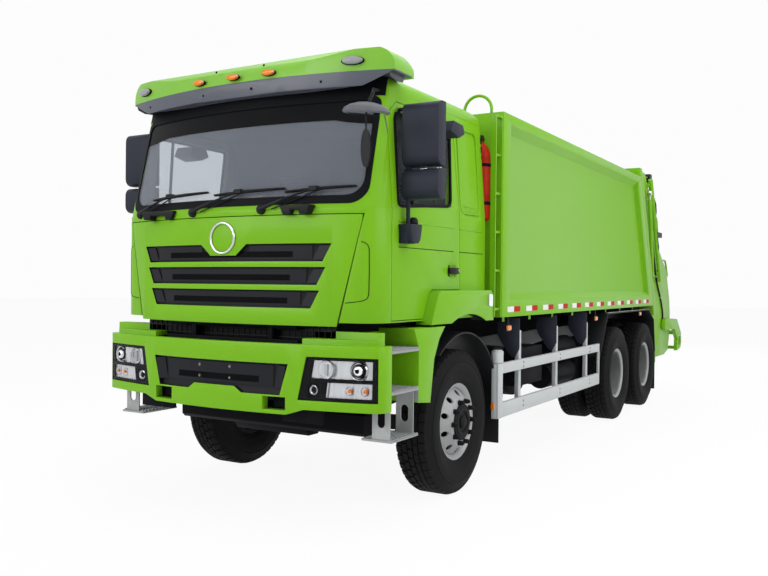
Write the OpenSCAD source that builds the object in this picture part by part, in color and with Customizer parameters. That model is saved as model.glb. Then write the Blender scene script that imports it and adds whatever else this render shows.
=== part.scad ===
// Rear-loading refuse truck: three-axle cab-over chassis, compaction container
// and a top-hinged tailgate with a packer and a bin lifter.
// X points to the vehicle's left, Y rearwards, Z up, all in millimetres.
// The origin is on the ground, under the middle of the overall length.

/* [Overall] */
// Front axle to first drive axle
wheelbase = 4375; // [3640:5:5250]
// First to second drive axle
tandem = 1400; // [1300:5:1680]
// Front bumper to front axle
front_overhang = 1525; // [1500:5:1600]
// Second drive axle to the tip of the bin lifter
rear_overhang = 2500; // [2480:5:2600]
// Width over the container
body_w = 2500; // [2400:5:3000]
// Height of the container's top edge
body_top = 3080; // [2900:5:3300]
// Underside of the container's side walls
body_bottom = 1357; // [1340:1:1380]
// Lean of the container's rear face from the vertical
slant = 25; // [20:1:27]

/* [Wheels] */
// Outer diameter of a tyre
tyre_d = 1125; // [1040:5:1140]
// Width of a tyre
tyre_w = 313; // [280:1:330]
// Diameter of the rim's flange
rim_d = 603; // [560:1:620]
// Distance between the front tyres' middles
front_track = 2036; // [2000:2:2060]
// Distance between the middles of the twin tyres
rear_track = 1860; // [1840:2:1900]
// Spacing of the two tyres of a twin wheel
twin_pitch = 344; // [335:1:360]
// Steering pivot's distance from the front tyre's middle
pivot_offset = 148; // [140:1:160]

/* [Frame] */
// Width over the frame rails
rail_span = 850; // [820:2:870]
// Height of a frame rail
rail_h = 300; // [260:2:310]
// Width of a rail's flanges
rail_flange = 80; // [70:1:90]
// Thickness of a rail
rail_t = 10; // [8:1:12]
// Height of the rails' top
frame_top = 1080; // [1060:1:1100]
// Side of the main cross bars
bar = 80; // [70:1:90]

/* [Cab] */
// Width of the cab over its doors
cab_w = 2330; // [2280:2:2360]
// Cab nose ahead of the front axle
cab_nose = 1440; // [1400:5:1450]
// Cab back wall behind the front axle
cab_back = 450; // [420:5:460]
// Underside of the cab
cab_bottom = 1370; // [1365:1:1380]
// Height of the line under the windscreen
belt_z = 2130; // [2110:1:2150]
// Height of the joint between walls and roof
gutter_z = 2930; // [2900:1:2960]
// Height of the roof
roof_z = 3060; // [3040:1:3080]
// Plan radius of the cab's nose
nose_r = 3700; // [3200:10:4400]
// Plan radius of the cab's front corners
corner_r = 190; // [160:1:220]
// Lean of the windscreen from the vertical
rake = 14; // [10:1:16]
// Thickness of the cab's walls and doors
wall = 50; // [40:1:60]
// Width of the shut gaps
gap = 6; // [5:1:8]
// Front edge of the doors, from the front axle
door_front = -1090; // [-1095:1:-1080]
// Rear edge of the doors, from the front axle
door_rear = -30; // [-60:1:0]
// Thickness of the window glass
glass_t = 6; // [4:1:8]

/* [Container] */
// Depth of the frame round the side panels
side_t = 80; // [70:1:90]
// How far the side panels are set back
recess = 56; // [40:1:60]
// Thickness of floor, roof and front wall
plate = 40; // [30:1:60]
// Depth of the rear portal frame
portal = 120; // [100:1:140]
// Gap between the container and the tailgate
seal_gap = 12; // [8:1:20]

/* [Tailgate] */
// Thickness of the tailgate's side walls
gate_t = 60; // [50:1:70]
// Width over the tailgate's side walls
gate_w = 2340; // [2300:2:2350]
// Distance from the container's rear face to the packer's track
track_n = 490; // [470:1:510]
// Length of the packer blade
blade_l = 780; // [700:1:790]
// Travel of the packer carriage
carriage_travel = 640; // [560:5:650]

/* [Hidden] */
$fn = 48;

overall_l = front_overhang + wheelbase + tandem + rear_overhang;
front_y = -overall_l / 2;
axle_1 = front_y + front_overhang;
axle_2 = axle_1 + wheelbase;
axle_3 = axle_2 + tandem;
wheel_r = tyre_d / 2;
rail_x = rail_span / 2;
rail_z = frame_top - rail_h;
half_w = body_w / 2;
green = "yellowgreen";
dark = "dimgray";

// Rear face of the container: a line leaning forward from its foot.
foot_y = axle_3 + 592;
foot_z = 1220;
function face_y(z) = foot_y - (z - foot_z) * tan(slant);
body_front = axle_1 + 620;
floor_top = body_bottom + plate;
hinge_y = face_y(body_top) + 70;
hinge_z = body_top + 60;

// A point s up the rear face and n behind it, as [y, z].
function on_face(s, n) = [foot_y - s * sin(slant) + n * cos(slant),
    foot_z + s * cos(slant) + n * sin(slant)];
function arc(cy, cz, r, a0, a1, n) =
    [for (i = [0:n]) let (a = a0 + (a1 - a0) * i / n) [cy + r * cos(a), cz + r * sin(a)]];

module box(lo, hi) translate(lo) cube(hi - lo);
// Solid between x0 and x1 with a side outline of [y, z] points
module side_shape(x0, x1, pts)
    translate([x0, 0, 0]) rotate([90, 0, 90]) linear_extrude(x1 - x0) polygon(pts);
// Solid between z0 and z1 with a plan outline of [x, y] points
module plan_shape(z0, z1, pts)
    translate([0, 0, z0]) linear_extrude(z1 - z0) polygon(pts);
// Solid between y0 and y1 with a front outline of [x, z] points
module front_shape(y0, y1, pts)
    translate([0, y1, 0]) rotate([90, 0, 0]) linear_extrude(y1 - y0) polygon(pts);
module both_sides() {
    children();
    mirror([1, 0, 0]) children();
}
module bar_x(r, x0, x1, y, z) translate([x0, y, z]) rotate([0, 90, 0]) cylinder(r = r, h = x1 - x0);
module bar_y(r, y0, y1, x, z) translate([x, y0, z]) rotate([-90, 0, 0]) cylinder(r = r, h = y1 - y0);
module bar_z(r, z0, z1, x, y) translate([x, y, z0]) cylinder(r = r, h = z1 - z0);
// Round bar from a to b, both [y, z], in the plane at x
module link(x, a, b, r) {
    d = b - a;
    translate([x, a[0], a[1]]) rotate([-atan2(d[0], d[1]), 0, 0]) cylinder(r = r, h = norm(d));
}
module at_front() translate([0, axle_1, 0]) children();

// ---------- Chassis ----------
rail_front = -1180;
rail_rear = axle_3 - axle_1 + 500;
bar_rear = rail_rear + 785;
module chassis_frame() color("#2b2c2e") at_front() {
    difference() {
        union() {
            both_sides() {
                difference() {
                    box([rail_x - rail_flange, rail_front, rail_z], [rail_x, rail_rear, frame_top]);
                    box([rail_x - rail_flange - 1, rail_front - 1, rail_z + rail_t],
                        [rail_x - rail_t, rail_rear + 1, frame_top - rail_t]);
                }
                // Stand that carries the cab's front pivot
                side_shape(rail_x - rail_flange, rail_x - rail_t,
                    [[rail_front, frame_top], [rail_front + 180, frame_top],
                     [pivot_y + 50, pivot_z - 75], [pivot_y - 60, pivot_z - 75], [pivot_y - 60, pivot_z - 155]]);
            }
            for (y = [rail_front + 10, 760, 1750, 2750, wheelbase + tandem / 2 - bar / 2, rail_rear - bar - 20])
                box([-rail_x + rail_t, y, rail_z + 60], [rail_x - rail_t, y + bar, frame_top - 60]);
            // Front tow beam, reaching to the bumper's two openings
            for (s = [-1, 1])
                box([s * tow_x - 60, -front_overhang + 110, tow_z - 35], [s * tow_x + 60, rail_front + 90, tow_z + 35]);
            box([-tow_x - 60, rail_front + 10, tow_z - 35], [tow_x + 60, rail_front + 90, rail_z + 61]);
            // Under-run bar below the tub, on two hangers
            both_sides() {
                box([rail_x - rail_t, rail_rear - 330, 500], [rail_x + 60, rail_rear - 230, rail_z + 1]);
                box([rail_x - rail_t, rail_rear - 330, 490], [rail_x + 60, bar_rear - 69, 550]);
                box([rail_x - rail_t - 1, rail_rear - 330, rail_z - 40], [rail_x + 60, rail_rear - 230, rail_z]);
            }
            box([-1095, bar_rear - 70, 480], [1095, bar_rear, 560]);
            // Rear tow plate
            box([-160, rail_rear - 20, rail_z + 60], [160, rail_rear + 40, rail_z + 220]);
            box([-60, rail_rear + 40, rail_z + 100], [60, rail_rear + 150, rail_z + 180]);
        }
        for (s = [-1, 1])
            bar_z(tow_r, tow_z - 40, tow_z + 40, s * tow_x, tow_bore_y);
        bar_z(tow_r, rail_z + 99, rail_z + 181, 0, rail_rear + 100);
    }
    // Beam between the two stands, and the ears and pins that the cab turns on
    box([-rail_x + rail_t, pivot_y - 55, pivot_z - 150], [rail_x - rail_t, pivot_y + 45, pivot_z - 75]);
    both_sides() {
        side_shape(rail_x - rail_flange, rail_x - rail_flange + 20, [[pivot_y - 45, pivot_z - 76], [pivot_y + 45, pivot_z - 76],
            [pivot_y + 28, pivot_z + 28], [pivot_y - 28, pivot_z + 28]]);
        bar_x(cab_pin_r, rail_x - rail_flange - 33, rail_x - rail_flange + 19, pivot_y, pivot_z);
    }
}
tow_x = 500;
tow_z = 830;
tow_r = 20;
tow_bore_y = -front_overhang + 165;
pivot_y = -1300;
pivot_z = 1320;
cab_pin_r = 18;

// Engine with the radiator ahead of it, as plain blocks on the rails
module engine_block() color("#3c3d3f") at_front() {
    box([-320, -780, 640], [320, 560, 1330]);
    box([-330, -1010, 800], [330, -900, 1330]);
    box([-200, -900, 860], [200, -780, 1000]);
    for (s = [-1, 1])
        box([s * 332.5 - 12.5, -300, 900], [s * 332.5 + 12.5, -180, 960]);
}

spring_x = rail_x - rail_flange / 2;
module axles() color("#2b2c2e") {
    front_axle();
    drive_axles();
}
module front_axle() at_front() difference() {
    union() {
        front_shape(-40, 40, [[-pin_x, wheel_r - 57], [-pin_x, wheel_r + 57], [-760, wheel_r + 57],
            [-560, wheel_r], [560, wheel_r], [760, wheel_r + 57], [pin_x, wheel_r + 57],
            [pin_x, wheel_r - 57], [760, wheel_r - 57], [600, wheel_r - 110], [-600, wheel_r - 110],
            [-760, wheel_r - 57]]);
        for (s = [-1, 1]) {
            bar_z(45, wheel_r - 57, wheel_r + 57, s * pin_x, 0);
            // Spring seat
            box([s * spring_x - 50, -90, wheel_r - 20], [s * spring_x + 50, 90, spring_seat - 0.3]);
        }
    }
    for (s = [-1, 1])
        bar_z(pin_r, wheel_r - 70, wheel_r + 70, s * pin_x, 0);
}
pin_x = front_track / 2 - pivot_offset;
pin_r = 25;
spring_seat = wheel_r + 38;

module leaf(y, half, x, seat, eye_z, thick) {
    // Arched pack of leaves on a seat, hung from the rail at its two eyes
    translate([x - 40, y, 0]) rotate([90, 0, 90]) linear_extrude(80) polygon(concat(
        [for (i = [-8:8]) let (t = i / 8) [half * t, seat + thick * (1 - abs(t) * 0.75) + (eye_z - seat - thick / 4) * t * t]],
        [for (i = [8:-1:-8]) let (t = i / 8) [half * t, seat + (eye_z - seat - thick / 4) * t * t]]));
}
module leaf_springs() color("#2b2c2e") {
    at_front() both_sides() {
        leaf(0, 780, spring_x, spring_seat, rail_z - 40, 90);
        for (y = [-780, 780])
            box([spring_x - 35, y - 45, rail_z - 70], [spring_x + 35, y + 45, rail_z]);
    }
    // Twin-axle springs on a middle saddle beside each rail
    translate([0, (axle_2 + axle_3) / 2, 0]) both_sides() {
        leaf(0, tandem / 2 + 60, rear_spring_x, saddle_z, wheel_r + 150, 130);
        box([rail_x, -110, wheel_r + 60], [rear_spring_x + 40, 110, saddle_z + 10]);
        for (y = [-tandem / 2, tandem / 2])
            box([rear_spring_x - 40, y - 60, pad_z], [rear_spring_x + 40, y + 60, pad_z + 45]);
    }
}
rear_spring_x = rail_x + 62;
saddle_z = wheel_r + 240;

module drive_axles() {
    for (y = [axle_2, axle_3]) {
        bar_x(hub_r, -hub_x, hub_x, y, wheel_r);
        translate([0, y, wheel_r]) sphere(r = 205);
        for (s = [-1, 1])
            box([s * rear_spring_x - 40, y - 60, wheel_r], [s * rear_spring_x + 40, y + 60, pad_z - 0.3]);
    }
    bar_y(50, axle_1 + 900, axle_2 - 100, 0, wheel_r);
    bar_y(50, axle_2 + 100, axle_3 - 100, 0, wheel_r);
    // Gearbox behind the engine
    bar_y(150, axle_1 + 560.3, axle_1 + 900, 0, 665);
}
hub_x = 1000;
hub_r = 85;
pad_z = wheel_r + 100;

// ---------- Front end ----------
bumper_w = 2490;
bumper_top = 1227;
bumper_low = 760;
bumper_r = 4200;
bumper_t = 60;
bumper_side = -1215;
bumper_corner = 90;
// Plan outline with a long front curve and small corners, set in by d
function nose_plan(half, front, big, small, d, back) = let (cx = half - small, c = front + big,
    cy = c - sqrt(pow(big - small, 2) - cx * cx), a0 = asin(cx / (big - small))) concat(
    [for (i = [-12:12]) let (a = a0 * i / 12) [(big - d) * sin(a), c - (big - d) * cos(a)]],
    [for (i = [1:8]) let (a = a0 + (90 - a0) * i / 8) [cx + (small - d) * sin(a), cy - (small - d) * cos(a)]],
    [[half - d, back], [-half + d, back]],
    [for (i = [8:-1:1]) let (a = a0 + (90 - a0) * i / 8) [-cx - (small - d) * sin(a), cy - (small - d) * cos(a)]]);
function bumper_outline(d) = nose_plan(bumper_w / 2, -front_overhang, bumper_r, bumper_corner, d, bumper_side);
module bumper_band(d0, d1, z0, z1) difference() {
    plan_shape(z0, z1, bumper_outline(d0));
    plan_shape(z0 - 1, z1 + 1, nose_plan(bumper_w / 2, -front_overhang, bumper_r, bumper_corner, d1, bumper_side + 1));
}
lamp_z0 = 862;
lamp_z1 = 1150;
module lamp_hole(d) front_shape(-front_overhang - 10, bumper_side + 30,
    [[675 + d, lamp_z0 + d], [bumper_w / 2 - 30 - d, lamp_z0 + d], [bumper_w / 2 - 30 - d, lamp_z1 - d], [735 + d, lamp_z1 - d]]);
module grille_hole() front_shape(-front_overhang - 10, bumper_side,
    [[-545, 885], [-240, 885], [-180, 925], [180, 925], [240, 885], [545, 885], [605, 1095], [-605, 1095]]);
module front_bumper() color(green) at_front() {
    difference() {
        union() {
            bumper_band(0, bumper_t, 800, bumper_top);
            intersection() {
                bumper_band(0, bumper_t, bumper_low, 800);
                front_shape(-front_overhang - 10, bumper_side + 30,
                    [[-590, bumper_low], [590, bumper_low], [720, 801], [-720, 801]]);
            }
        }
        both_sides() lamp_hole(0);
        // Recessed grille
        intersection() {
            grille_hole();
            bumper_band(-1, 34, 870, 1110);
        }
        for (s = [-1, 1])
            box([s * tow_x - 88, -front_overhang - 10, tow_z - 44], [s * tow_x + 88, -front_overhang + 200, tow_z + 44]);
    }
    // Stepped blocks on the bumper's top
    both_sides() {
        intersection() {
            box([670, -1480, bumper_top], [1190, -1215, bumper_top + 36]);
            translate([0, 60, 0]) plan_shape(bumper_top, bumper_top + 40, bumper_outline(0));
        }
        box([690, -1290, bumper_top + 36], [1190, -1215, bumper_top + 84]);
        // Bracket to the frame
        box([rail_x - rail_flange, -1410, 900], [rail_x, rail_front - 0.3, 1020]);
    }
    // Stiff bar behind the skin
    box([-660, -1445, 900], [660, -1395, 1020]);
}
// Lamp bodies in the holes, each with a rim against the bumper's back
module front_lamps() color("#1c1d20") at_front() both_sides() {
    intersection() {
        lamp_hole(3);
        bumper_band(6, bumper_t + 24, lamp_z0 - 20, lamp_z1 + 20);
    }
    intersection() {
        lamp_hole(-9);
        bumper_band(bumper_t + 0.3, bumper_t + 24, lamp_z0 - 20, lamp_z1 + 20);
    }
}

// Step wells behind the bumper's corners, with two treads and a hanging step
step_front = bumper_side + 12;
step_rear = -835;
step_out = 1240;
module cab_steps() color(green) at_front() both_sides() {
    // Inner wall of the well
    box([935, step_front, 800], [955, step_rear + 60, 1300]);
    // Fender piece between the well and the wheel
    side_shape(955, step_out, [[step_rear, 815], [-655, 795], [-600, 1100], [-520, 1240], [-430, 1325],
        [-905, 1325], [step_rear, 1200]]);
    for (z = [925, 1195])
        box([955, step_front, z - 22], [step_out, step_rear, z]);
    box([955, step_front, 800], [step_out - 40, step_front + 12, 1195]);
    // Hanging step: two plates with an oval hole and a tread
    for (y = [step_front + 20, step_rear - 30]) difference() {
        box([1080, y, 605], [1215, y + 10, 903]);
        for (z = [712, 768])
            bar_y(30, y - 1, y + 11, 1147, z);
        box([1117.5, y - 1, 712], [1176.5, y + 11, 768]);
    }
    box([1010, step_front, 590], [step_out, step_rear, 605]);
    // Bracket to the frame rail
    box([rail_x, -1010, 960], [935, -930, 1040]);
}

// Front arches, rear tandem covers and the flaps behind each wheel
arch_r = 700;
module mudguards() color("#232426") {
    at_front() both_sides() {
        side_shape(800, 1200, concat(arc(0, wheel_r, arch_r, 8, 128, 24), arc(0, wheel_r, arch_r - 12, 128, 8, 24)));
        box([800, arch_r - 12, 290], [1200, arch_r, wheel_r + 100]);
        box([rail_x, 560, 990], [800, 620, 1040]);
        box([790, 560, 940], [840, 600, 1060]);
    }
    both_sides() {
        side_shape(590, 1240, [[axle_2 - 790, 815], [axle_2 - 780, 815], [axle_2 - 475, 1296], [axle_3 + 200, 1296],
            [axle_3 + 500, 1150], [axle_3 + 590, 700], [axle_3 + 600, 700], [axle_3 + 510, 1156], [axle_3 + 205, 1308],
            [axle_2 - 480, 1308]]);
        box([600, axle_3 + 590, 165], [1235, axle_3 + 602, 700]);
        for (y = [axle_2 - 400, axle_3 + 60])
            box([rail_x + seat, y, 1240], [620, y + 60, 1296]);
    }
}

guard_z = [510, 636, 881, 970];
guard_front = 585;
guard_rear = wheelbase - 810;
module side_guards() color("#c9cbcc") at_front() both_sides() {
    for (z = [guard_z[0], guard_z[2]])
        box([half_w - 45, guard_front, z], [half_w - 10, guard_rear, z + (z == guard_z[0] ? guard_z[1] - guard_z[0] : guard_z[3] - guard_z[2])]);
    box([half_w - 45, guard_front, guard_z[1]], [half_w - 10, guard_front + 90, guard_z[2]]);
    // Posts up to gusset brackets on the frame
    for (y = [1165, (1165 + guard_rear - 380) / 2, guard_rear - 380]) {
        box([half_w - 85, y - 30, guard_z[0] + 20], [half_w - 45, y + 30, 1225]);
        front_shape(y - 6, y + 6, [[rail_x, 1060], [half_w - 85, 1225], [half_w - 85, 1120], [rail_x, 820]]);
    }
}

module side_tanks() color("#2a2b2d") at_front() {
    box([620, 1290, 700], [1130, 1950, 1050]);
    box([rail_x, 1300, 850], [620, 1360, 950]);
    box([rail_x, 1880, 850], [620, 1940, 950]);
    for (z = [700, 960])
        bar_y(125, 2250, 3050, 1000, z);
    for (y = [2350, 2900])
        box([rail_x, y, 600], [1000, y + 50, 1000]);
    // Fluid tank behind the front wheel
    box([900, 790, 640], [1110, 1010, 1090]);
    box([rail_x, 850, 880], [900, 900, 960]);
    // Fuel tank on the right
    side_shape(-1150, -540, concat(arc(1330, 620, 90, 180, 270, 6), arc(2050, 620, 90, 270, 360, 6),
        arc(2050, 1010, 90, 0, 90, 6), arc(1330, 1010, 90, 90, 180, 6)));
    for (y = [1400, 1900])
        box([-540, y, 880], [-rail_x, y + 60, 980]);
}
module silencer() color("#55575a") at_front() {
    translate([-800, 902, 560]) cylinder(r = 190, h = 520);
    box([-620, 872, 860], [-rail_x, 932, 920]);
}

// ---------- Container ----------
// Slack left between fixed pieces that only sit against each other
seat = 0.3;
rear_frame_y = portal / cos(slant);
// Side outline of the container between its front wall and the portal frame
body_side = [[body_front, body_bottom], [face_y(body_bottom) - rear_frame_y - seat, body_bottom],
    [face_y(body_top) - rear_frame_y - seat, body_top], [body_front, body_top]];
panel_z = [1560, 2930];
panel_front = body_front + 170;
function panel_rear(z) = face_y(z) - 330;
module container_sides() color(green) both_sides() {
    difference() {
        side_shape(half_w - side_t, half_w, body_side);
        side_shape(half_w - recess, half_w + 1,
            [[panel_front, panel_z[0]], [panel_rear(panel_z[0]), panel_z[0]],
             [panel_rear(panel_z[1]), panel_z[1]], [panel_front, panel_z[1]]]);
        // Slopes down to the panel from the sill and the top rail
        for (z = panel_z) front_shape(panel_front, panel_rear(z),
            [[half_w - recess, z], [half_w + 1, z], [half_w + 1, z + (z == panel_z[0] ? -60 : 65)]]);
    }
}
module container_floor() color(dark) {
    side_shape(-half_w + side_t, half_w - side_t, [[body_front + plate, body_bottom],
        [face_y(body_bottom) - rear_frame_y - seat, body_bottom],
        [face_y(floor_top) - rear_frame_y - seat, floor_top], [body_front + plate, floor_top]]);
    both_sides()
        box([rail_x - rail_flange, body_front + 60, frame_top], [rail_x, face_y(body_bottom) - rear_frame_y - seat, body_bottom]);
    for (i = [0:7])
        box([-half_w + side_t, body_front + 200 + i * 640, body_bottom - 45],
            [half_w - side_t, body_front + 260 + i * 640, body_bottom]);
}
module container_roof() color(green) {
    side_shape(-half_w + side_t, half_w - side_t, [[body_front + plate, body_top - plate],
        [face_y(body_top - plate) - rear_frame_y - seat, body_top - plate],
        [face_y(body_top) - rear_frame_y - seat, body_top],
        [body_front + plate, body_top]]);
}
module container_front_wall() color(green) {
    box([-half_w + side_t, body_front, body_bottom], [half_w - side_t, body_front + plate, body_top]);
    // Ribs on the outside
    for (x = [-700, 0, 700])
        box([x - 30, body_front - 40, body_bottom], [x + 30, body_front, body_top - 60]);
}
// Portal frame at the back, leaning with the rear face
header_z = body_top + 110;
module container_rear_frame() color(green) {
    portal_frame();
    // Ears and pins for the lift cylinders' feet
    both_sides() {
        side_shape(lift_ear_x, lift_ear_x + 12, lift_ear);
        bar_x(lift_pin_r, lift_ear_x + 1, half_w - 2, lift_foot[0], lift_foot[1]);
    }
}
module portal_frame() difference() {
    union() {
        side_shape(-half_w, half_w, [[face_y(foot_z) - rear_frame_y, foot_z], [face_y(foot_z), foot_z],
            [face_y(header_z - 90), header_z - 90], [face_y(header_z - 90) - 60, header_z],
            [face_y(header_z) - rear_frame_y, header_z]]);
        // Ears for the tailgate's hinge pins
        for (x = ear_x)
            side_shape(x, x + ear_t, [[face_y(body_top) - 60, body_top], [hinge_y - 45, hinge_z + 45],
                [hinge_y + 45, hinge_z + 45], [hinge_y + 45, hinge_z - 45], [face_y(body_top - 60) - 20, body_top - 60]]);
    }
    // Opening into the container
    side_shape(-half_w + side_t + 20, half_w - side_t - 20, [[face_y(floor_top) - 2 * rear_frame_y, floor_top],
        [face_y(floor_top) + 50, floor_top], [face_y(body_top - 60) + 50, body_top - 60],
        [face_y(body_top - 60) - 2 * rear_frame_y, body_top - 60]]);
    bar_x(hinge_r + fit, -half_w, half_w, hinge_y, hinge_z);
}
ear_x = [-940, -800, 780, 920];
ear_t = 20;
hinge_r = 25;
lift_pin_r = 20;
// Radial clearance of a pin in its bore
fit = 0.05;
lift_ear_x = half_w - 72;
lift_foot = on_face(560, 110);
lift_head = on_face(1690, 400);
lift_ear = [on_face(500, -10), on_face(520, 150), on_face(610, 150), on_face(640, -10)];

// Ladder at the front left corner, with a hoop over the front wall
ladder_y = [body_front - 120, body_front - 80];
module ladder() color(green) {
    box([half_w - 60, ladder_y[0], 1365], [half_w - 5, ladder_y[1], body_top - 30]);
    for (i = [0:5])
        bar_y(13, ladder_y[1], body_front, half_w - 30, 1440 + i * 319);
    for (z = [1500, body_top - 60])
        box([half_w - 60, ladder_y[1], z - 25], [half_w - 20, body_front, z + 25]);
    // Hoop
    translate([hoop_x, body_front + 20, body_top]) rotate([90, 0, 0]) translate([0, 30, 0])
        rotate_extrude(angle = 180) translate([hoop_r, 0]) circle(r = 13);
    for (s = [-1, 1])
        bar_z(13, body_top, body_top + 30, hoop_x + s * hoop_r, body_front + 20);
}
hoop_x = half_w - 240;
hoop_r = 125;
// ---------- Cab ----------
cab_side = cab_w / 2;
// Plan outline of the cab, set in by d and reaching back to y_back
function cab_plan(d, y_back) = nose_plan(cab_side, -cab_nose, nose_r, corner_r, d, y_back);
// Front outline: upright to the belt, leaning in above it, with a rounded roof
lean = 60;
roof_r = 110;
function cab_front_outline(d) = let (x = cab_side - d, xt = cab_side - lean - d, zt = roof_z - d) concat(
    [[-x, cab_bottom], [x, cab_bottom], [x, belt_z]],
    [for (i = [0:6]) let (a = 90 * i / 6) [xt - roof_r + roof_r * cos(a), zt - roof_r + roof_r * sin(a)]],
    [for (i = [6:-1:0]) let (a = 90 * i / 6) [-xt + roof_r - roof_r * cos(a), zt - roof_r + roof_r * sin(a)]],
    [[-x, belt_z]]);
// Side outline: roof curve front and back
function cab_side_outline(d) = concat(
    [[-1700, cab_bottom], [cab_back - d, cab_bottom], [cab_back - d, roof_z - 160]],
    [for (i = [0:6]) let (a = 90 * i / 6) [cab_back - d - 150 + 150 * cos(a), roof_z - d - 150 + 150 * sin(a)]],
    [[-700, roof_z - d], [-1000, roof_z - 30 - d], [-1160, gutter_z + 25 - d], [-1240, gutter_z - 30 - d], [-1700, gutter_z - 30 - d]]);
module cab_solid(d) intersection() {
    union() {
        intersection() {
            plan_shape(cab_bottom, belt_z + 1, cab_plan(d, cab_back - d));
            box([-2000, -2000, cab_bottom], [2000, 2000, belt_z]);
        }
        intersection() {
            translate([0, -cab_nose, belt_z]) rotate([-rake, 0, 0]) translate([0, cab_nose, 0])
                plan_shape(-300, 1300, cab_plan(d, cab_back + 600));
            box([-2000, -2000, belt_z], [2000, 2000, roof_z + 10]);
        }
    }
    side_shape(-2000, 2000, cab_side_outline(d));
    front_shape(-2000, 2000, cab_front_outline(d));
}
// Room inside the walls; behind the front panel the wall is set back by its thickness
panel_t = 42;
cab_floor_t = 60;
module cab_room() intersection() {
    cab_solid(wall);
    union() {
        box([-2000, -2000, belt_z + 40], [2000, cab_back - wall, roof_z]);
        translate([0, panel_t + 10, 0]) plan_shape(cab_bottom + cab_floor_t, belt_z + 41, cab_plan(wall, cab_back));
    }
    box([-2000, -2000, cab_bottom + cab_floor_t], [2000, cab_back - wall, roof_z - wall]);
}
// Door outline in side view, grown by d
door_low = 1385;
flare_top = 1585;
function door_line(d) = [[door_front - d, door_low - d], [-637 + d, door_low - d], [-553 + d, flare_top - 27 - d / 2],
    [-503 + d, flare_top + 7 - d], [door_rear + d, flare_top + 7 - d], [door_rear - 15 + d, 2200],
    [door_rear - 50 + d, 2790 + d], [door_rear - 110, 2868 + d], [door_front + 130, 2868 + d],
    [door_front - d, 2760 + d]];
function window_line(d) = [[-1015 - d, 2165 - d], [-960, 2148 - d], [-185 + d, 2215 - d], [-140 + d, 2780 + d],
    [-170, 2805 + d], [-960, 2805 + d], [-1000 - d, 2770 + d]];
// Windscreen outline in front view, grown by d
function screen_line(d) = let (x = 1062 + d, z0 = belt_z + 42 - d, z1 = gutter_z - 48 + d) concat(
    arc(x - 110, z0 + 110, 110, -90, 0, 6), arc(x - 40, z1 - 50, 50, 0, 90, 4),
    arc(-x + 40, z1 - 50, 50, 90, 180, 4), arc(-x + 110, z0 + 110, 110, 180, 270, 6));
// Front panel outline in front view, shrunk by d
panel_top = 2085;
panel_low = 1345;
// The upper corners are nipped in so that the panel clears its seat as it swings up
function panel_line(d) = [[-885 + d, panel_low], [885 - d, panel_low], [1048 - d, panel_top - 50], [1053 - d, panel_top - d],
    [-1053 + d, panel_top - d], [-1048 + d, panel_top - 50]];
flare_rear = 460;
module flare() both_sides() difference() {
    side_shape(cab_side - wall, 1240, [[-650, 1342], [flare_rear + 5, 1342], [flare_rear, flare_top - 45],
        [flare_rear - 45, flare_top], [-500, flare_top], [-545, flare_top - 30]]);
    bar_x(840, 0, 2000, 0, wheel_r);
}
module cab_shell() color(green) at_front() difference() {
    union() {
        difference() {
            cab_solid(0);
            cab_room();
            box([-2000, -2000, gutter_z], [2000, 2000, roof_z + 100]);
            both_sides() side_shape(cab_side - lean - 2 * wall, cab_side + 10, door_line(gap));
            front_shape(-1700, -900, screen_line(0));
            // Seat of the front panel
            difference() {
                front_shape(-1700, -1000, [[-885 - gap, cab_bottom - 60], [885 + gap, cab_bottom - 60],
                    [1060 + gap, panel_top + gap], [-1060 - gap, panel_top + gap]]);
                plan_shape(cab_bottom - 100, belt_z, cab_plan(panel_t + gap, cab_back));
            }
            // Engine tunnel under the floor
            box([-360, -1250, cab_bottom - 10], [360, 700, cab_bottom + cab_floor_t - 20]);
            // Pressed blank panel behind each door
            both_sides() side_shape(cab_side - 8, cab_side + 10, [[60, 2170], [330, 2170], [320, 2700], [290, 2760], [60, 2790]]);
        }
        flare();
        // Lugs of the cab's front pivot
        for (s = [-1, 1])
            side_shape(s > 0 ? rail_x - rail_flange - 30 : -rail_x + rail_flange + 4, s > 0 ? rail_x - rail_flange - 4 : -rail_x + rail_flange + 30,
                [[pivot_y - 40, pivot_z - 40], [pivot_y + 40, pivot_z - 40], [pivot_y + 150, cab_bottom + 5], [pivot_y - 40, cab_bottom + 5]]);
    }
    both_sides() bar_x(cab_pin_r + fit, rail_x - 200, rail_x, pivot_y, pivot_z);
}
module cab_roof() color(green) at_front() difference() {
    intersection() {
        cab_solid(0);
        box([-2000, -2000, gutter_z], [2000, 2000, roof_z + 10]);
    }
    cab_room();
}
module windscreen() color("gray") at_front() intersection() {
    difference() {
        cab_solid(8);
        cab_solid(8 + glass_t);
    }
    front_shape(-1700, -900, screen_line(-0.3));
}
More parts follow.
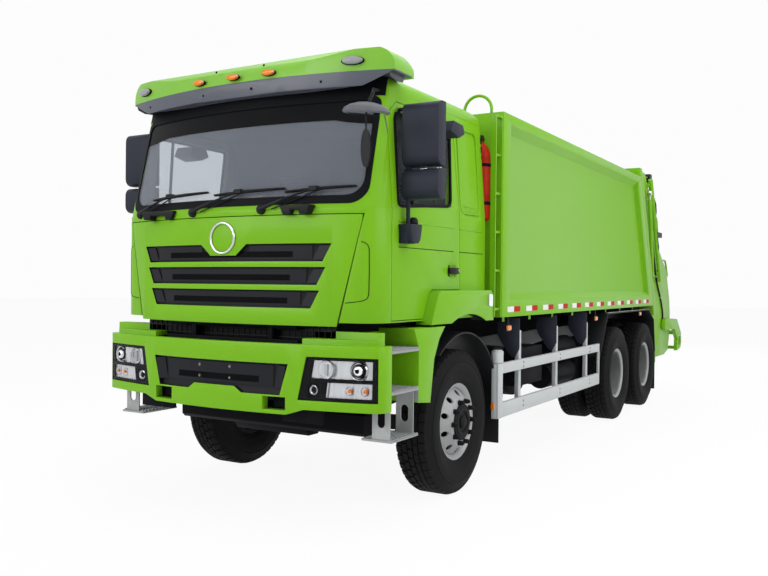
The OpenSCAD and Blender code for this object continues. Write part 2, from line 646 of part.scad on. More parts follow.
// Roof visor with its peak over the windscreen
visor_w = 2400;
visor_front = -1335;
visor_top = 3200;
module roof_visor() color(green) at_front() difference() {
    intersection() {
        translate([0, visor_front + nose_r]) linear_extrude(4000) intersection() {
            circle(r = nose_r, $fn = 360);
            translate([-visor_w / 2, -nose_r]) square([visor_w, 520]);
        }
        side_shape(-visor_w / 2, visor_w / 2, [[visor_front + 20, 2945], [visor_front - 1, 3035], [visor_front + 50, 3140],
            [visor_front + 120, visor_top - 8], [visor_front + 200, visor_top], [-950, visor_top - 10], [-870, 3090], [-870, 3035],
            [-1140, 3035], [-1200, 2945]]);
        front_shape(-1700, 0, concat([[-visor_w / 2, 2900], [visor_w / 2, 2900]],
            arc(visor_w / 2 - 130, 3070, 130, 0, 90, 8), arc(-visor_w / 2 + 130, 3070, 130, 90, 180, 8)));
    }
    cab_solid(-0.3);
}
module seats() color("#3a3c40") at_front() for (s = [-1, 1]) translate([s * 620, 0, 0]) {
    box([-190, -420, cab_bottom + cab_floor_t], [190, -20, 1720]);
    side_shape(-250, 250, [[-500, 1720], [20, 1720], [110, 1840], [210, 2420], [120, 2440], [-10, 1880], [-480, 1880], [-520, 1840]]);
    side_shape(-130, 130, [[140, 2432.3], [190, 2422], [225, 2590], [150, 2600]]);
}
module dashboard() color("#2e3033") at_front() {
    intersection() {
        side_shape(-1100, 1100, [[-1400, 1780], [-930, 1780], [-880, 1960], [-960, 2080], [-1400, 2110]]);
        cab_room_front(seat);
    }
    // Steering column and wheel
    link(620, [-1000, 1800], wheel_c, 32);
    translate([620, wheel_c[0], wheel_c[1]]) rotate([wheel_tilt, 0, 0]) {
        rotate_extrude() translate([215, 0]) circle(r = 16, $fn = 24);
        for (a = [90, 210, 330])
            rotate([0, 0, a]) translate([0, -18, -8]) cube([205, 36, 16]);
        cylinder(r = 60, h = 30, center = true);
    }
}
wheel_c = [-640, 2105];
wheel_tilt = -52;
module cab_room_front(d) translate([0, panel_t + 10 + d, 0])
    plan_shape(cab_bottom, belt_z, cab_plan(wall + d, cab_back));
slot_z = [[1775, 1895], [1618, 1738], [1462, 1582]];
module front_panel() color(green) at_front() difference() {
    intersection() {
        union() {
            difference() {
                plan_shape(panel_low, panel_top, cab_plan(0, cab_back));
                plan_shape(panel_low - 1, panel_top + 1, cab_plan(10, cab_back));
            }
            intersection() {
                difference() {
                    plan_shape(panel_low, panel_top, cab_plan(0, cab_back));
                    plan_shape(panel_low - 1, panel_top + 1, cab_plan(panel_t, cab_back));
                }
                box([-850, -1700, panel_low + 30], [850, 0, panel_top - 40]);
            }
        }
        front_shape(-1700, -1000, panel_line(0));
    }
    // Recessed grille slots, the top one notched under the round badge plate
    for (i = [0:2]) let (x1 = 850 - i * 42, x0 = x1 - 62) front_grille_slot(x0, x1, slot_z[i][0], slot_z[i][1], i == 0);
}
module front_grille_slot(x0, x1, z0, z1, notch) difference() {
    front_shape(-1700, -1000, notch
        ? [[-x0, z0], [x0, z0], [x1, z1], [205, z1], [115, z1 - 78], [-115, z1 - 78], [-205, z1], [-x1, z1]]
        : [[-x0, z0], [x0, z0], [x1, z1], [-x1, z1]]);
    plan_shape(z0 - 1, z1 + 1, cab_plan(30, cab_back));
}
module door(s) color(green) at_front() scale_x(s) difference() {
    intersection() {
        difference() {
            cab_solid(0);
            cab_solid(wall);
        }
        side_shape(cab_side - lean - 2 * wall, cab_side + 10, door_line(0));
    }
    side_shape(800, 1300, window_line(0));
    // Grip recess
    side_shape(cab_side - 22, cab_side + 1, [[-235, 1690], [-110, 1690], [-110, 1775], [-235, 1775]]);
}
module scale_x(s) mirror([s > 0 ? 0 : 1, 0, 0]) children();
module left_door() door(1);
module right_door() door(-1);
module door_window(s) color("gray") at_front() scale_x(s) intersection() {
    difference() {
        cab_solid(20);
        cab_solid(20 + glass_t);
    }
    side_shape(800, 1300, window_line(-0.3));
}
module left_door_window() door_window(1);
module right_door_window() door_window(-1);
mirror_y = [-1000, -885];
module door_mirrors(s) color("#25272b") at_front() scale_x(s) {
    // Main and wide-angle housings on one upright tube
    side_shape(mirror_x[0], mirror_x[1], concat(arc(mirror_y[0] + 60, 2480, 58, 180, 270, 4), [[mirror_y[1], 2422], [mirror_y[1], 2850]],
        arc(mirror_y[0] + 60, 2792, 58, 90, 180, 4)));
    side_shape(mirror_x[0], mirror_x[1], concat(arc(mirror_y[0] + 60, 2258, 58, 180, 270, 4), [[mirror_y[1], 2200], [mirror_y[1], 2405]],
        arc(mirror_y[0] + 60, 2347, 58, 90, 180, 4)));
    bar_z(14, 1995, 2430, mirror_stem[0], mirror_stem[1]);
    // Cup bracket on the door
    box([cab_side + 0.3, -1000, 1905], [cab_side + 62, -880, 2010]);
    // Upper arm to the door's head
    bar_x(14, cab_side - 49.2, mirror_x[0] + 60, -930, 2820);
    // Kerb mirror over the window, on an arm from the door's head
    side_shape(cab_side - 20, cab_side + 170, [[-560, 2720], [-420, 2690], [-330, 2730], [-360, 2790], [-520, 2800]]);
    box([cab_side - 49.2, -480, 2780], [cab_side + 20, -440, 2842]);
}
mirror_x = [cab_side + 15, cab_side + 290];
mirror_stem = [cab_side + 38, -940];
module left_mirrors() door_mirrors(1);
module right_mirrors() door_mirrors(-1);

// ---------- Wheels ----------
stub_r = 35;
module front_knuckle(s) color("#3a3b3d") at_front() scale_x(s) {
    // Fork round the axle's end, its pin and the stub that carries the wheel
    for (z = [[wheel_r - 105, wheel_r - 62], [wheel_r + 62, wheel_r + 105]])
        box([pin_x - 50, -50, z[0]], [pin_x + 82, 50, z[1]]);
    bar_z(pin_r - fit, wheel_r - 105, wheel_r + 105, pin_x, 0);
    box([pin_x + 50, -60, wheel_r - 105], [pin_x + 82, 60, wheel_r + 105]);
    bar_x(stub_r, pin_x + 80, front_track / 2 + 120, 0, wheel_r);
    // Steering arm
    box([pin_x - 30, 40, wheel_r - 105], [pin_x + 30, 210, wheel_r - 75]);
}
module left_knuckle() front_knuckle(1);
module right_knuckle() front_knuckle(-1);
// Tyre cross-section, ring shaped about its own axis
module tyre() rotate_extrude($fn = 96) tyre_half();
module tyre_half() polygon([[rim_d / 2 - 22, -tyre_w / 2 + 52], [rim_d / 2 + 28, -tyre_w / 2 + 22], [rim_d / 2 + 120, -tyre_w / 2],
    [wheel_r - 60, -tyre_w / 2 + 22], [wheel_r - 12, -tyre_w / 2 + 34], [wheel_r, -tyre_w / 2 + 62],
    [wheel_r, tyre_w / 2 - 62], [wheel_r - 12, tyre_w / 2 - 34], [wheel_r - 60, tyre_w / 2 - 22],
    [rim_d / 2 + 120, tyre_w / 2], [rim_d / 2 + 28, tyre_w / 2 - 22], [rim_d / 2 - 22, tyre_w / 2 - 52]]);
// Rim ring with flanges at both edges
module rim_ring() rotate_extrude($fn = 96) polygon([[rim_d / 2 - 42, -118], [rim_d / 2, -118], [rim_d / 2, -106],
    [rim_d / 2 - 22, -100], [rim_d / 2 - 22, 100], [rim_d / 2, 106], [rim_d / 2, 118], [rim_d / 2 - 42, 118]]);
module hand_holes(r, n, z0, z1, hole) for (i = [0:n - 1])
    rotate([0, 0, i * 360 / n]) translate([r, 0, z0]) cylinder(r = hole, h = z1 - z0, $fn = 32);
module front_wheel(s) at_front() translate([s * front_track / 2, 0, wheel_r]) rotate([0, s * 90, 0]) {
    color("#202124") tyre();
    color("silver") difference() {
        union() {
            rim_ring();
            // Dished disc and hub
            rotate_extrude($fn = 96) polygon([[0, 78], [150, 78], [175, 66], [rim_d / 2 - 42, 20], [rim_d / 2 - 42, 34],
                [185, 88], [150, 96], [118, 96], [112, 150], [90, 168], [0, 168]]);
            translate([0, 0, -50]) cylinder(r = 100, h = 140);
        }
        hand_holes(212, 10, 0, 120, 23);
        translate([0, 0, -120]) cylinder(r = stub_r + fit, h = 245);
    }
}
module front_left_wheel() front_wheel(1);
module front_right_wheel() front_wheel(-1);
module twin_wheel(s, y) translate([s * rear_track / 2, y, wheel_r]) rotate([0, s * 90, 0]) {
    color("#202124") for (z = [-1, 1]) translate([0, 0, z * twin_pitch / 2]) tyre();
    color("silver") difference() {
        union() {
            for (z = [-1, 1]) translate([0, 0, z * twin_pitch / 2]) rim_ring();
            // Two discs back to back, dished towards the middle
            rotate_extrude($fn = 96) polygon([[0, -8], [180, -8], [rim_d / 2 - 42, 70], [rim_d / 2 - 42, 84],
                [178, 8], [140, 8], [134, 150], [110, 180], [0, 180]]);
            rotate_extrude($fn = 96) polygon([[0, -8], [180, -8], [rim_d / 2 - 42, -84], [rim_d / 2 - 42, -70], [180, 8], [0, 8]]);
            cylinder(r = 130, h = 300, center = true);
        }
        hand_holes(212, 10, -100, 100, 23);
        translate([0, 0, -400]) cylinder(r = hub_r + fit, h = 480);
    }
}
module middle_left_wheel() twin_wheel(1, axle_2);
module middle_right_wheel() twin_wheel(-1, axle_2);
module rear_left_wheel() twin_wheel(1, axle_3);
module rear_right_wheel() twin_wheel(-1, axle_3);

// ---------- Tailgate ----------
gate_x = gate_w / 2;
gate_n = seal_gap;
cyl_x = gate_x + 42;
blade_c = on_face(25, track_n);
tub_r = blade_l + 45;
tub_t = 30;
gate_low = 590;
lip_y = blade_c[0] + tub_r;
lip_z = 1230;
gate_tip = [lip_y + 60, lip_z - 20];
gate_outline = [on_face(-560, gate_n), on_face(1990, gate_n), [hinge_y - 10, hinge_z + 40], [hinge_y + 80, hinge_z + 50],
    on_face(1975, 437), on_face(1285, 745), on_face(860, 690), [lip_y - 225, 1870], [lip_y + 15, 1420], gate_tip,
    [lip_y + 40, 900], [lip_y - 60, 650], [blade_c[0] + 500, gate_low], [blade_c[0] - 110, gate_low]];
// Slot in the side walls for the carriage's lugs, along the track
slot_s = [340, 340 + carriage_travel + 140];
module tailgate() color(green) {
    gate_body();
    hopper();
}
module gate_body() difference() {
    union() {
        both_sides() difference() {
            side_shape(gate_x - gate_t, gate_x, gate_outline);
            side_shape(gate_x - gate_t - 1, gate_x + 1, [on_face(slot_s[0] - 70, track_n + 20), on_face(slot_s[0] - 70, track_n + 90),
                on_face(slot_s[1], track_n + 90), on_face(slot_s[1], track_n + 20)]);
        }
        // Head beam and upper back cover
        side_shape(-gate_x + gate_t, gate_x - gate_t, [on_face(1960, 20), [hinge_y + 70, hinge_z - 60], on_face(1900, 180), on_face(1860, 20)]);
        side_shape(-gate_x + gate_t, gate_x - gate_t, [on_face(1975, 437), on_face(1285, 745), on_face(860, 690), on_face(860, 662), on_face(1285, 715), on_face(1950, 417)]);
        // Hinge lugs between the portal's ears
        for (x = [[-915, -805], [805, 915]])
            side_shape(x[0], x[1], [[hinge_y - 40, hinge_z - 40], [hinge_y - 20, hinge_z + 42], [hinge_y + 50, hinge_z + 42],
                on_face(1960, 260), on_face(1880, 60)]);
        for (s = [-1, 1]) scale_x(s) {
            // Ear of the lift cylinder's head
            side_shape(gate_x, gate_x + 16, [on_face(1620, 340), on_face(1620, 470), on_face(1760, 470), on_face(1760, 340)]);
            bar_x(lift_pin_r, gate_x + 1, lift_x - eye_half - 5, lift_head[0], lift_head[1]);
            // Hinge pin through the portal's ears
            bar_x(hinge_r, ear_x[2] - 8, ear_x[3] + ear_t + 8, hinge_y, hinge_z);
            // Pin that the bin lifter's arm turns on
            bar_x(lifter_r, gate_x - 1, half_w - 10, lifter_c[0], lifter_c[1]);
            // Carriage cylinder's barrel, fixed along the track
            link(cyl_x, on_face(1090, track_n + 56), on_face(1840, track_n + 56), 33);
            side_shape(gate_x, cyl_x, [on_face(1740, track_n + 20), on_face(1740, track_n + 90), on_face(1790, track_n + 90), on_face(1790, track_n + 20)]);
        }
    }
    both_sides()
        link(cyl_x, on_face(1050, track_n + 56), on_face(1830, track_n + 56), 22 + fit);
}
// Curved tub between the side walls: a front plate along the track, then an arc to the lip
tub_n = gate_n + 15;
function tub_start(r, n) = let (h = track_n - n, w = sqrt(r * r - h * h)) on_face(25 - w, n);
function face_angle(r, n) = let (p = tub_start(r, n)) atan2(p[1] - blade_c[1], p[0] - blade_c[0]);
tub_end = -17;
tub_arc = concat([on_face(170, tub_n)],
    arc(blade_c[0], blade_c[1], tub_r + tub_t, face_angle(tub_r + tub_t, tub_n), tub_end, 24),
    [[lip_y + tub_t + 30, lip_z], [lip_y, lip_z]],
    arc(blade_c[0], blade_c[1], tub_r, tub_end, face_angle(tub_r, tub_n + tub_t), 24),
    [on_face(170, tub_n + tub_t)]);
module hopper() {
    side_shape(-gate_x + gate_t, gate_x - gate_t, tub_arc);
    // Stiff beam along the lip and one under the tub
    side_shape(-gate_x + gate_t, gate_x - gate_t, [[lip_y + tub_t, lip_z - 120], [lip_y + 110, lip_z - 120], [lip_y + 110, lip_z], [lip_y + tub_t, lip_z]]);
}
lifter_c = [lip_y - 525, 1050];
lifter_r = 30;
module packer_carriage() color(green) {
    // Cross box with slide blocks in the side walls' slots
    side_shape(-gate_x + gate_t + 8, gate_x - gate_t - 8, [on_face(150, track_n - 60), on_face(150, track_n + 60), on_face(900, track_n + 60), on_face(900, track_n - 60)]);
    for (s = [-1, 1]) scale_x(s) {
        side_shape(gate_x - gate_t - 8, gate_x + 64, [on_face(slot_s[0] - 60, track_n + 28), on_face(slot_s[0] - 60, track_n + 82), on_face(slot_s[0] + 100, track_n + 82), on_face(slot_s[0] + 100, track_n + 28)]);
        // Rod of the carriage cylinder
        link(cyl_x, on_face(slot_s[0] + 90, track_n + 56), on_face(1150, track_n + 56), 22);
    }
    // Ears for the blade
    for (x = [-600, 580]) difference() {
        side_shape(x, x + 20, [on_face(-25, track_n - 40), on_face(-25, track_n + 40), on_face(151, track_n + 40), on_face(151, track_n - 40)]);
        bar_x(blade_pin_r + fit, x - 1, x + 21, blade_c[0], blade_c[1]);
    }
}
blade_pin_r = 20;
blade_rest = 30;
// Point at distance r from the blade's hinge and w to its rear side, at the rest lean
function on_blade(r, w) = let (a = -90 + slant - blade_rest)
    [blade_c[0] + r * cos(a) - w * sin(a), blade_c[1] + r * sin(a) + w * cos(a)];
module packer_blade() color(green) {
    side_shape(-gate_x + gate_t + 8, gate_x - gate_t - 8, [on_blade(70, -40), on_blade(blade_l - 40, -40), on_blade(blade_l - 5, 0), on_blade(blade_l - 40, 50), on_blade(70, 60)]);
    for (x = [-575, 545])
        side_shape(x, x + 30, [on_blade(-35, -35), on_blade(71, -38), on_blade(71, 50), on_blade(-35, 35)]);
    both_sides()
        bar_x(blade_pin_r, 570, 606, blade_c[0], blade_c[1]);
}
function on_lifter(y, z) = [lifter_c[0] + y, lifter_c[1] + z];
arm_x = [gate_x + 12, gate_x + 66];
module bin_lifter() color(green) {
    both_sides() difference() {
        side_shape(arm_x[0], arm_x[1], [on_lifter(-70, -50), on_lifter(-50, 70), on_lifter(30, 100), on_lifter(820, 60),
            [lifter_tip - 30, 880], [lifter_tip, 720], [lifter_tip - 70, 640], [lifter_tip - 330, 610], [lifter_tip - 300, 800],
            on_lifter(640, -90), on_lifter(20, -80)]);
        bar_x(lifter_r + fit, arm_x[0] - 1, arm_x[1] + 1, lifter_c[0], lifter_c[1]);
        // Window in the arm's foot
        side_shape(arm_x[0] - 1, arm_x[1] + 1, [[lifter_tip - 80, 830], [lifter_tip - 60, 740], [lifter_tip - 110, 690],
            [lifter_tip - 250, 680], [lifter_tip - 230, 820]]);
    }
    // Comb bar with its teeth, and the lower bar that bins rest on
    box([-arm_x[0] - 1, lifter_tip - 110, 850], [arm_x[0] + 1, lifter_tip - 60, 915]);
    box([-arm_x[0] - 1, lifter_tip - 170, 620], [arm_x[0] + 1, lifter_tip - 110, 670]);
    for (i = [-9:9])
        box([i * 110 - 18, lifter_tip - 60, 860], [i * 110 + 18, lifter_tip - 45, 960]);
}
lifter_tip = axle_3 + rear_overhang;

// Tailgate lift cylinders: barrel on the container, rod to the tailgate
lift_x = half_w - 29;
eye_half = 26;
lift_len = norm(lift_head - lift_foot);
lift_dir = (lift_head - lift_foot) / lift_len;
module lift_barrels() color("#2b2c2e") both_sides() difference() {
    union() {
        link(lift_x, lift_foot + 25 * lift_dir, lift_foot + (lift_len - 90) * lift_dir, 27);
        bar_x(34, lift_x - eye_half, lift_x + eye_half - 1, lift_foot[0], lift_foot[1]);
    }
    bar_x(lift_pin_r + fit, lift_x - 40, lift_x + 40, lift_foot[0], lift_foot[1]);
    link(lift_x, lift_foot + 60 * lift_dir, lift_foot + lift_len * lift_dir, 17 + fit);
}
// The rod's head carries its own pin end, beside the tailgate's pin
module lift_rods() color("silver") both_sides() {
    link(lift_x, lift_foot + 75 * lift_dir, lift_head - 15 * lift_dir, 17);
    bar_x(32, lift_x - eye_half, lift_x + eye_half - 1, lift_head[0], lift_head[1]);
}
// Push-out plate inside the container, leaning with the rear face
module ejector_plate() color(dark) {
    y0 = body_front + plate + 30;
    side_shape(-half_w + side_t + 12, half_w - side_t - 12, [[y0 + 960, floor_top + 6], [y0 + 1000, floor_top + 6],
        [y0 + 1000 - 500, body_top - plate - 90], [y0 + 960 - 500, body_top - plate - 90]]);
    for (x = [-500, 480])
        side_shape(x, x + 20, [[y0, floor_top + 6], [y0 + 965, floor_top + 6], [y0 + 540, body_top - plate - 300]]);
}

chassis_frame();
engine_block();
axles();
leaf_springs();
front_bumper();
front_lamps();
cab_steps();
mudguards();
side_guards();
side_tanks();
silencer();
container_floor();
container_sides();
container_roof();
container_front_wall();
container_rear_frame();
ladder();
cab_shell();
cab_roof();
roof_visor();
windscreen();
seats();
dashboard();
front_panel();
left_door();
right_door();
left_door_window();
right_door_window();
left_mirrors();
right_mirrors();
left_knuckle();
right_knuckle();
front_left_wheel();
front_right_wheel();
middle_left_wheel();
middle_right_wheel();
rear_left_wheel();
rear_right_wheel();
tailgate();
packer_carriage();
packer_blade();
bin_lifter();
lift_barrels();
lift_rods();
ejector_plate();
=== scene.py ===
"""Looks of the garbage truck: materials, wheels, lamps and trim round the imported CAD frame."""
import math
import bpy
import numpy as np
from mathutils import Matrix, Vector


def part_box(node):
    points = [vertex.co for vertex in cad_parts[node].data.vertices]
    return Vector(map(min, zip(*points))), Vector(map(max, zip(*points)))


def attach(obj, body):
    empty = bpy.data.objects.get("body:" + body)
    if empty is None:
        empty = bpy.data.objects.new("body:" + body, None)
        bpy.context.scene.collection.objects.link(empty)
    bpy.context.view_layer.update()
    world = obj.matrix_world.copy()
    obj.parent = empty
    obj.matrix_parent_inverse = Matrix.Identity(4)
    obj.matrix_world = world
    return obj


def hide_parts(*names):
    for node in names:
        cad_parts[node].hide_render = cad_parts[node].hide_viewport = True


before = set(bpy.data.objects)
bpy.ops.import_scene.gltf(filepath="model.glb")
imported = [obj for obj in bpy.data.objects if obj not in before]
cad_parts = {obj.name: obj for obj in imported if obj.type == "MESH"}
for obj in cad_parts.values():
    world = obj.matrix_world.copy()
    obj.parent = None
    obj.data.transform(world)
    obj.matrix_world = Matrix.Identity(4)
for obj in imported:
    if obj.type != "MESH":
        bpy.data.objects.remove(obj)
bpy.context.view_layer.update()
scene = bpy.context.scene
RAD = math.radians
SIDES = ((1, "left"), (-1, "right"))
TIP = 0.0001                            # radius at which a turned profile closes


# ---------------------------------------------------------------- places read from the CAD
def mid(node):
    lo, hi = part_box(node)
    return (lo + hi) / 2


AX = mid("front_left_wheel").y          # front axle
AX2 = mid("middle_left_wheel").y
AX3 = mid("rear_left_wheel").y
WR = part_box("front_left_wheel")[1].z / 2
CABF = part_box("front_panel")[0].y
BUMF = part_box("front_bumper")[0].y
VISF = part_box("roof_visor")[0].y
CAB_BACK = AX + 0.450
BELT, RAKE, CABW = 2.130, RAD(14), 1.165


def FA(x, y, z):
    """Point whose y is counted from the front axle."""
    return x, AX + y, z


# ---------------------------------------------------------------- materials
def node(nt, kind, inputs=None, **attrs):
    n = nt.nodes.new("ShaderNode" + kind)
    for key, value in attrs.items():
        setattr(n, key, value)
    for key, value in (inputs or {}).items():
        n.inputs[key].default_value = value
    return n


def fresh(name):
    m = bpy.data.materials.new(name)
    m.use_nodes = True
    return m, m.node_tree, m.node_tree.nodes["Principled BSDF"]


def tones(nt, p, rgb, vary, scale, detail):
    """Base colour wandering round rgb; gives back the coordinate and noise sockets."""
    tc = node(nt, "TexCoord")
    nz = node(nt, "TexNoise", {"Scale": scale, "Detail": detail})
    mx = node(nt, "Mix", data_type="RGBA")
    mx.inputs[6].default_value = (*[c * (1 - vary) for c in rgb], 1)
    mx.inputs[7].default_value = (*[min(1, c * (1 + vary)) for c in rgb], 1)
    nt.links.new(tc.outputs["Object"], nz.inputs["Vector"])
    nt.links.new(nz.outputs["Fac"], mx.inputs[0])
    nt.links.new(mx.outputs[2], p.inputs["Base Color"])
    return tc.outputs["Object"], nz.outputs["Fac"]


def mat(name, rgb, rough=0.4, metal=0.0, vary=0.08, scale=6.0, bump=0.0, coat=0.0, bump_scale=None, spec=0.14):
    m, nt, p = fresh(name)
    for key, value in (("Roughness", rough), ("Metallic", metal), ("Coat Weight", coat),
                       ("Coat Roughness", 0.08), ("Specular IOR Level", spec)):
        p.inputs[key].default_value = value
    where, noise = tones(nt, p, rgb, vary, scale, 4)
    mr = node(nt, "MapRange", {"To Min": rough * 0.85, "To Max": min(1, rough * 1.15)})
    nt.links.new(noise, mr.inputs["Value"])
    nt.links.new(mr.outputs["Result"], p.inputs["Roughness"])
    if bump:
        nb = node(nt, "TexNoise", {"Scale": bump_scale or scale * 12, "Detail": 3})
        bp = node(nt, "Bump", {"Strength": bump, "Distance": 0.002})
        nt.links.new(where, nb.inputs["Vector"])
        nt.links.new(nb.outputs["Fac"], bp.inputs["Height"])
        nt.links.new(bp.outputs["Normal"], p.inputs["Normal"])
    return m


def clear(name, tint, through, way):
    """See-through material: a tinted way through mixed with a glossy surface."""
    m, nt, p = fresh(name)
    p.inputs["Roughness"].default_value = 0.04
    p.inputs["Specular IOR Level"].default_value = 0.3
    tones(nt, p, tint, 0.1, 1.3, 2)
    tr = node(nt, "BsdfTransparent", {"Color": (*way, 1)})
    lw = node(nt, "LayerWeight", {"Blend": 0.25})
    mr = node(nt, "MapRange", {"To Min": 1 - through, "To Max": 1.22 - through})
    mix = node(nt, "MixShader")
    for a, b in ((lw.outputs["Facing"], mr.inputs["Value"]), (mr.outputs["Result"], mix.inputs[0]),
                 (tr.outputs[0], mix.inputs[1]), (p.outputs[0], mix.inputs[2]),
                 (mix.outputs[0], nt.nodes["Material Output"].inputs["Surface"])):
        nt.links.new(a, b)
    return m


GREEN = mat("green_paint", (0.172, 0.430, 0.008), 0.38, vary=0.03, scale=1.5, bump=0.03, coat=0.06, spec=0.15)
BLACKF = mat("frame_paint", (0.007, 0.007, 0.009), 0.55, vary=0.25, scale=5, bump=0.1, spec=0.04)
SHIELD = mat("bracket_paint", (0.040, 0.043, 0.064), 0.5, vary=0.15, scale=6, bump=0.1, spec=0.12)
CAST = mat("cast_iron", (0.013, 0.013, 0.014), 0.62, vary=0.3, scale=9, bump=0.4, spec=0.08)
GREY = mat("guard_grey", (0.50, 0.52, 0.525), 0.42, vary=0.05, scale=4, bump=0.05)
PLAST = mat("dark_plastic", (0.009, 0.0095, 0.011), 0.45, vary=0.15, scale=10, bump=0.15)
GLOSSB = mat("gloss_black", (0.006, 0.0062, 0.007), 0.22, vary=0.1, scale=4, spec=0.05)
MIRR_SH = mat("mirror_shell", (0.020, 0.023, 0.036), 0.45, vary=0.1, scale=12, bump=0.1)
SHADEG = mat("smoked_grey", (0.085, 0.09, 0.10), 0.30, vary=0.1, scale=3)
RUBBER = mat("rubber", (0.0060, 0.0060, 0.0063), 0.8, vary=0.3, scale=14, bump=0.35, spec=0.15)
CAP = mat("mirror_cap", (0.120, 0.125, 0.140), 0.4, scale=12, bump=0.08)
# black of the rubber seals, also used for the plate of painted shadow under the visor
SEAL_AND_SHADE = mat("seal_and_shade", (0.006, 0.0065, 0.008), 0.5, vary=0.1, scale=9, spec=0.05)
SILVER = mat("silver", (0.50, 0.51, 0.52), 0.36, metal=0.75, scale=9, bump=0.06)
RIM = mat("wheel_silver", (0.36, 0.365, 0.37), 0.55, metal=0.25, vary=0.10, scale=9, bump=0.08)
STEEL = mat("steel", (0.36, 0.36, 0.36), 0.42, metal=0.9, vary=0.15, scale=12, bump=0.15)
TREADM = mat("tread_metal", (0.34, 0.35, 0.355), 0.45, metal=0.35, scale=15, bump=0.1)
REFLECT = mat("lamp_reflector", (0.74, 0.76, 0.77), 0.22, metal=0.55, vary=0.06, scale=30)
CUSHION = mat("seat_fabric", (0.040, 0.042, 0.050), 0.92, vary=0.35, scale=60, bump=0.6, bump_scale=320)
GRILLE = mat("grille_black", (0.0105, 0.011, 0.015), 0.42, vary=0.12, scale=12, bump=0.1)
# dark green for painted shade in the creases and panel gaps
SEAM_SHADE = mat("seam_shadow", (0.020, 0.055, 0.003), 0.7, vary=0.1, scale=9)
SMOKEL = mat("clearance_lens", (0.30, 0.31, 0.32), 0.25, scale=20, coat=0.2)
CHROME = mat("chrome", (0.62, 0.63, 0.64), 0.14, metal=1.0, vary=0.02, scale=3)
MIRROR = mat("mirror_glass", (0.85, 0.87, 0.88), 0.03, metal=1.0, vary=0.02, scale=2)
CLOTH = mat("seat_cloth", (0.035, 0.036, 0.042), 0.9, vary=0.25, scale=30, bump=0.5, bump_scale=250)
DASH = mat("dash_grey", (0.05, 0.052, 0.058), 0.6, vary=0.12, scale=14, bump=0.2)
INNER = mat("inner_trim", (0.20, 0.20, 0.19), 0.8, vary=0.1, scale=8, bump=0.15)
RED = mat("red", (0.44, 0.022, 0.008), 0.4, scale=8, spec=0.08)
REDTAPE = mat("red_tape", (0.42, 0.012, 0.005), 0.45, vary=0.12, scale=60, spec=0.06)
WHITETAPE = mat("white_tape", (0.74, 0.75, 0.74), 0.3, vary=0.05, scale=60)
AMBER = mat("amber", (0.80, 0.20, 0.01), 0.2, vary=0.1, scale=25, coat=0.6)
REDLENS = mat("red_lens", (0.55, 0.006, 0.006), 0.16, vary=0.12, scale=25, coat=0.7)
WHITEL = mat("white_lens", (0.80, 0.81, 0.82), 0.16, vary=0.05, scale=20, coat=0.5)
BARE = mat("worn_steel", (0.22, 0.21, 0.20), 0.5, metal=0.8, vary=0.3, scale=7, bump=0.3)
GLASS = clear("screen_glass", (0.345, 0.37, 0.425), 0.77, (0.92, 0.94, 0.96))
SIDEG = clear("side_glass", (0.11, 0.12, 0.135), 0.96, (0.96, 0.97, 0.97))
LENS = clear("lamp_lens", (0.05, 0.052, 0.055), 0.92, (0.97, 0.97, 0.98))


def two_tone(name, low, high, edge, ahead):
    """Paint above a height, smoked plastic under it and ahead of a depth."""
    m = mat(name, high, 0.34, vary=0.03, scale=2, coat=0.12, spec=0.25)
    nt = m.node_tree
    base = nt.nodes["Principled BSDF"].inputs["Base Color"]
    paint = base.links[0].from_socket
    sep = node(nt, "SeparateXYZ")
    nt.links.new(node(nt, "TexCoord").outputs["Object"], sep.inputs[0])
    under = node(nt, "Math", {1: edge}, operation="LESS_THAN")
    front = node(nt, "Math", {1: ahead}, operation="LESS_THAN")
    both_true = node(nt, "Math", operation="MULTIPLY")
    mx = node(nt, "Mix", data_type="RGBA")
    mx.inputs[7].default_value = (*low, 1)
    for a, b in ((sep.outputs["Z"], under.inputs[0]), (sep.outputs["Y"], front.inputs[0]),
                 (under.outputs[0], both_true.inputs[0]), (front.outputs[0], both_true.inputs[1]),
                 (both_true.outputs[0], mx.inputs[0]), (paint, mx.inputs[6]), (mx.outputs[2], base)):
        nt.links.new(a, b)
    return m


# ---------------------------------------------------------------- CAD nodes
SHARP = RAD(34)                         # edges steeper than this are bevelled and shaded flat


def smooth_group():
    g = bpy.data.node_groups.new("smooth_by_angle", "GeometryNodeTree")
    for way in ("INPUT", "OUTPUT"):
        g.interface.new_socket("Geometry", in_out=way, socket_type="NodeSocketGeometry")
    n = g.nodes
    gi, go = n.new("NodeGroupInput"), n.new("NodeGroupOutput")
    s1, s2 = n.new("GeometryNodeSetShadeSmooth"), n.new("GeometryNodeSetShadeSmooth")
    s2.domain = "EDGE"
    s2.inputs["Shade Smooth"].default_value = False
    ea = n.new("GeometryNodeInputMeshEdgeAngle")
    cp = n.new("FunctionNodeCompare")
    cp.operation = "GREATER_THAN"
    cp.inputs[1].default_value = SHARP
    for a, b in ((gi.outputs[0], s1.inputs["Geometry"]), (s1.outputs[0], s2.inputs["Geometry"]),
                 (ea.outputs["Unsigned Angle"], cp.inputs[0]), (cp.outputs[0], s2.inputs["Selection"]),
                 (s2.outputs[0], go.inputs[0])):
        g.links.new(a, b)
    return g


SMOOTH = smooth_group()


def finish_mesh(o, bevel, segments=2):
    if bevel:
        b = o.modifiers.new("bevel", "BEVEL")
        b.width = bevel
        b.segments = segments
        b.limit_method = "ANGLE"
        b.angle_limit = SHARP
        b.use_clamp_overlap = True
        b.miter_outer = "MITER_ARC"
    o.modifiers.new("smooth", "NODES").node_group = SMOOTH


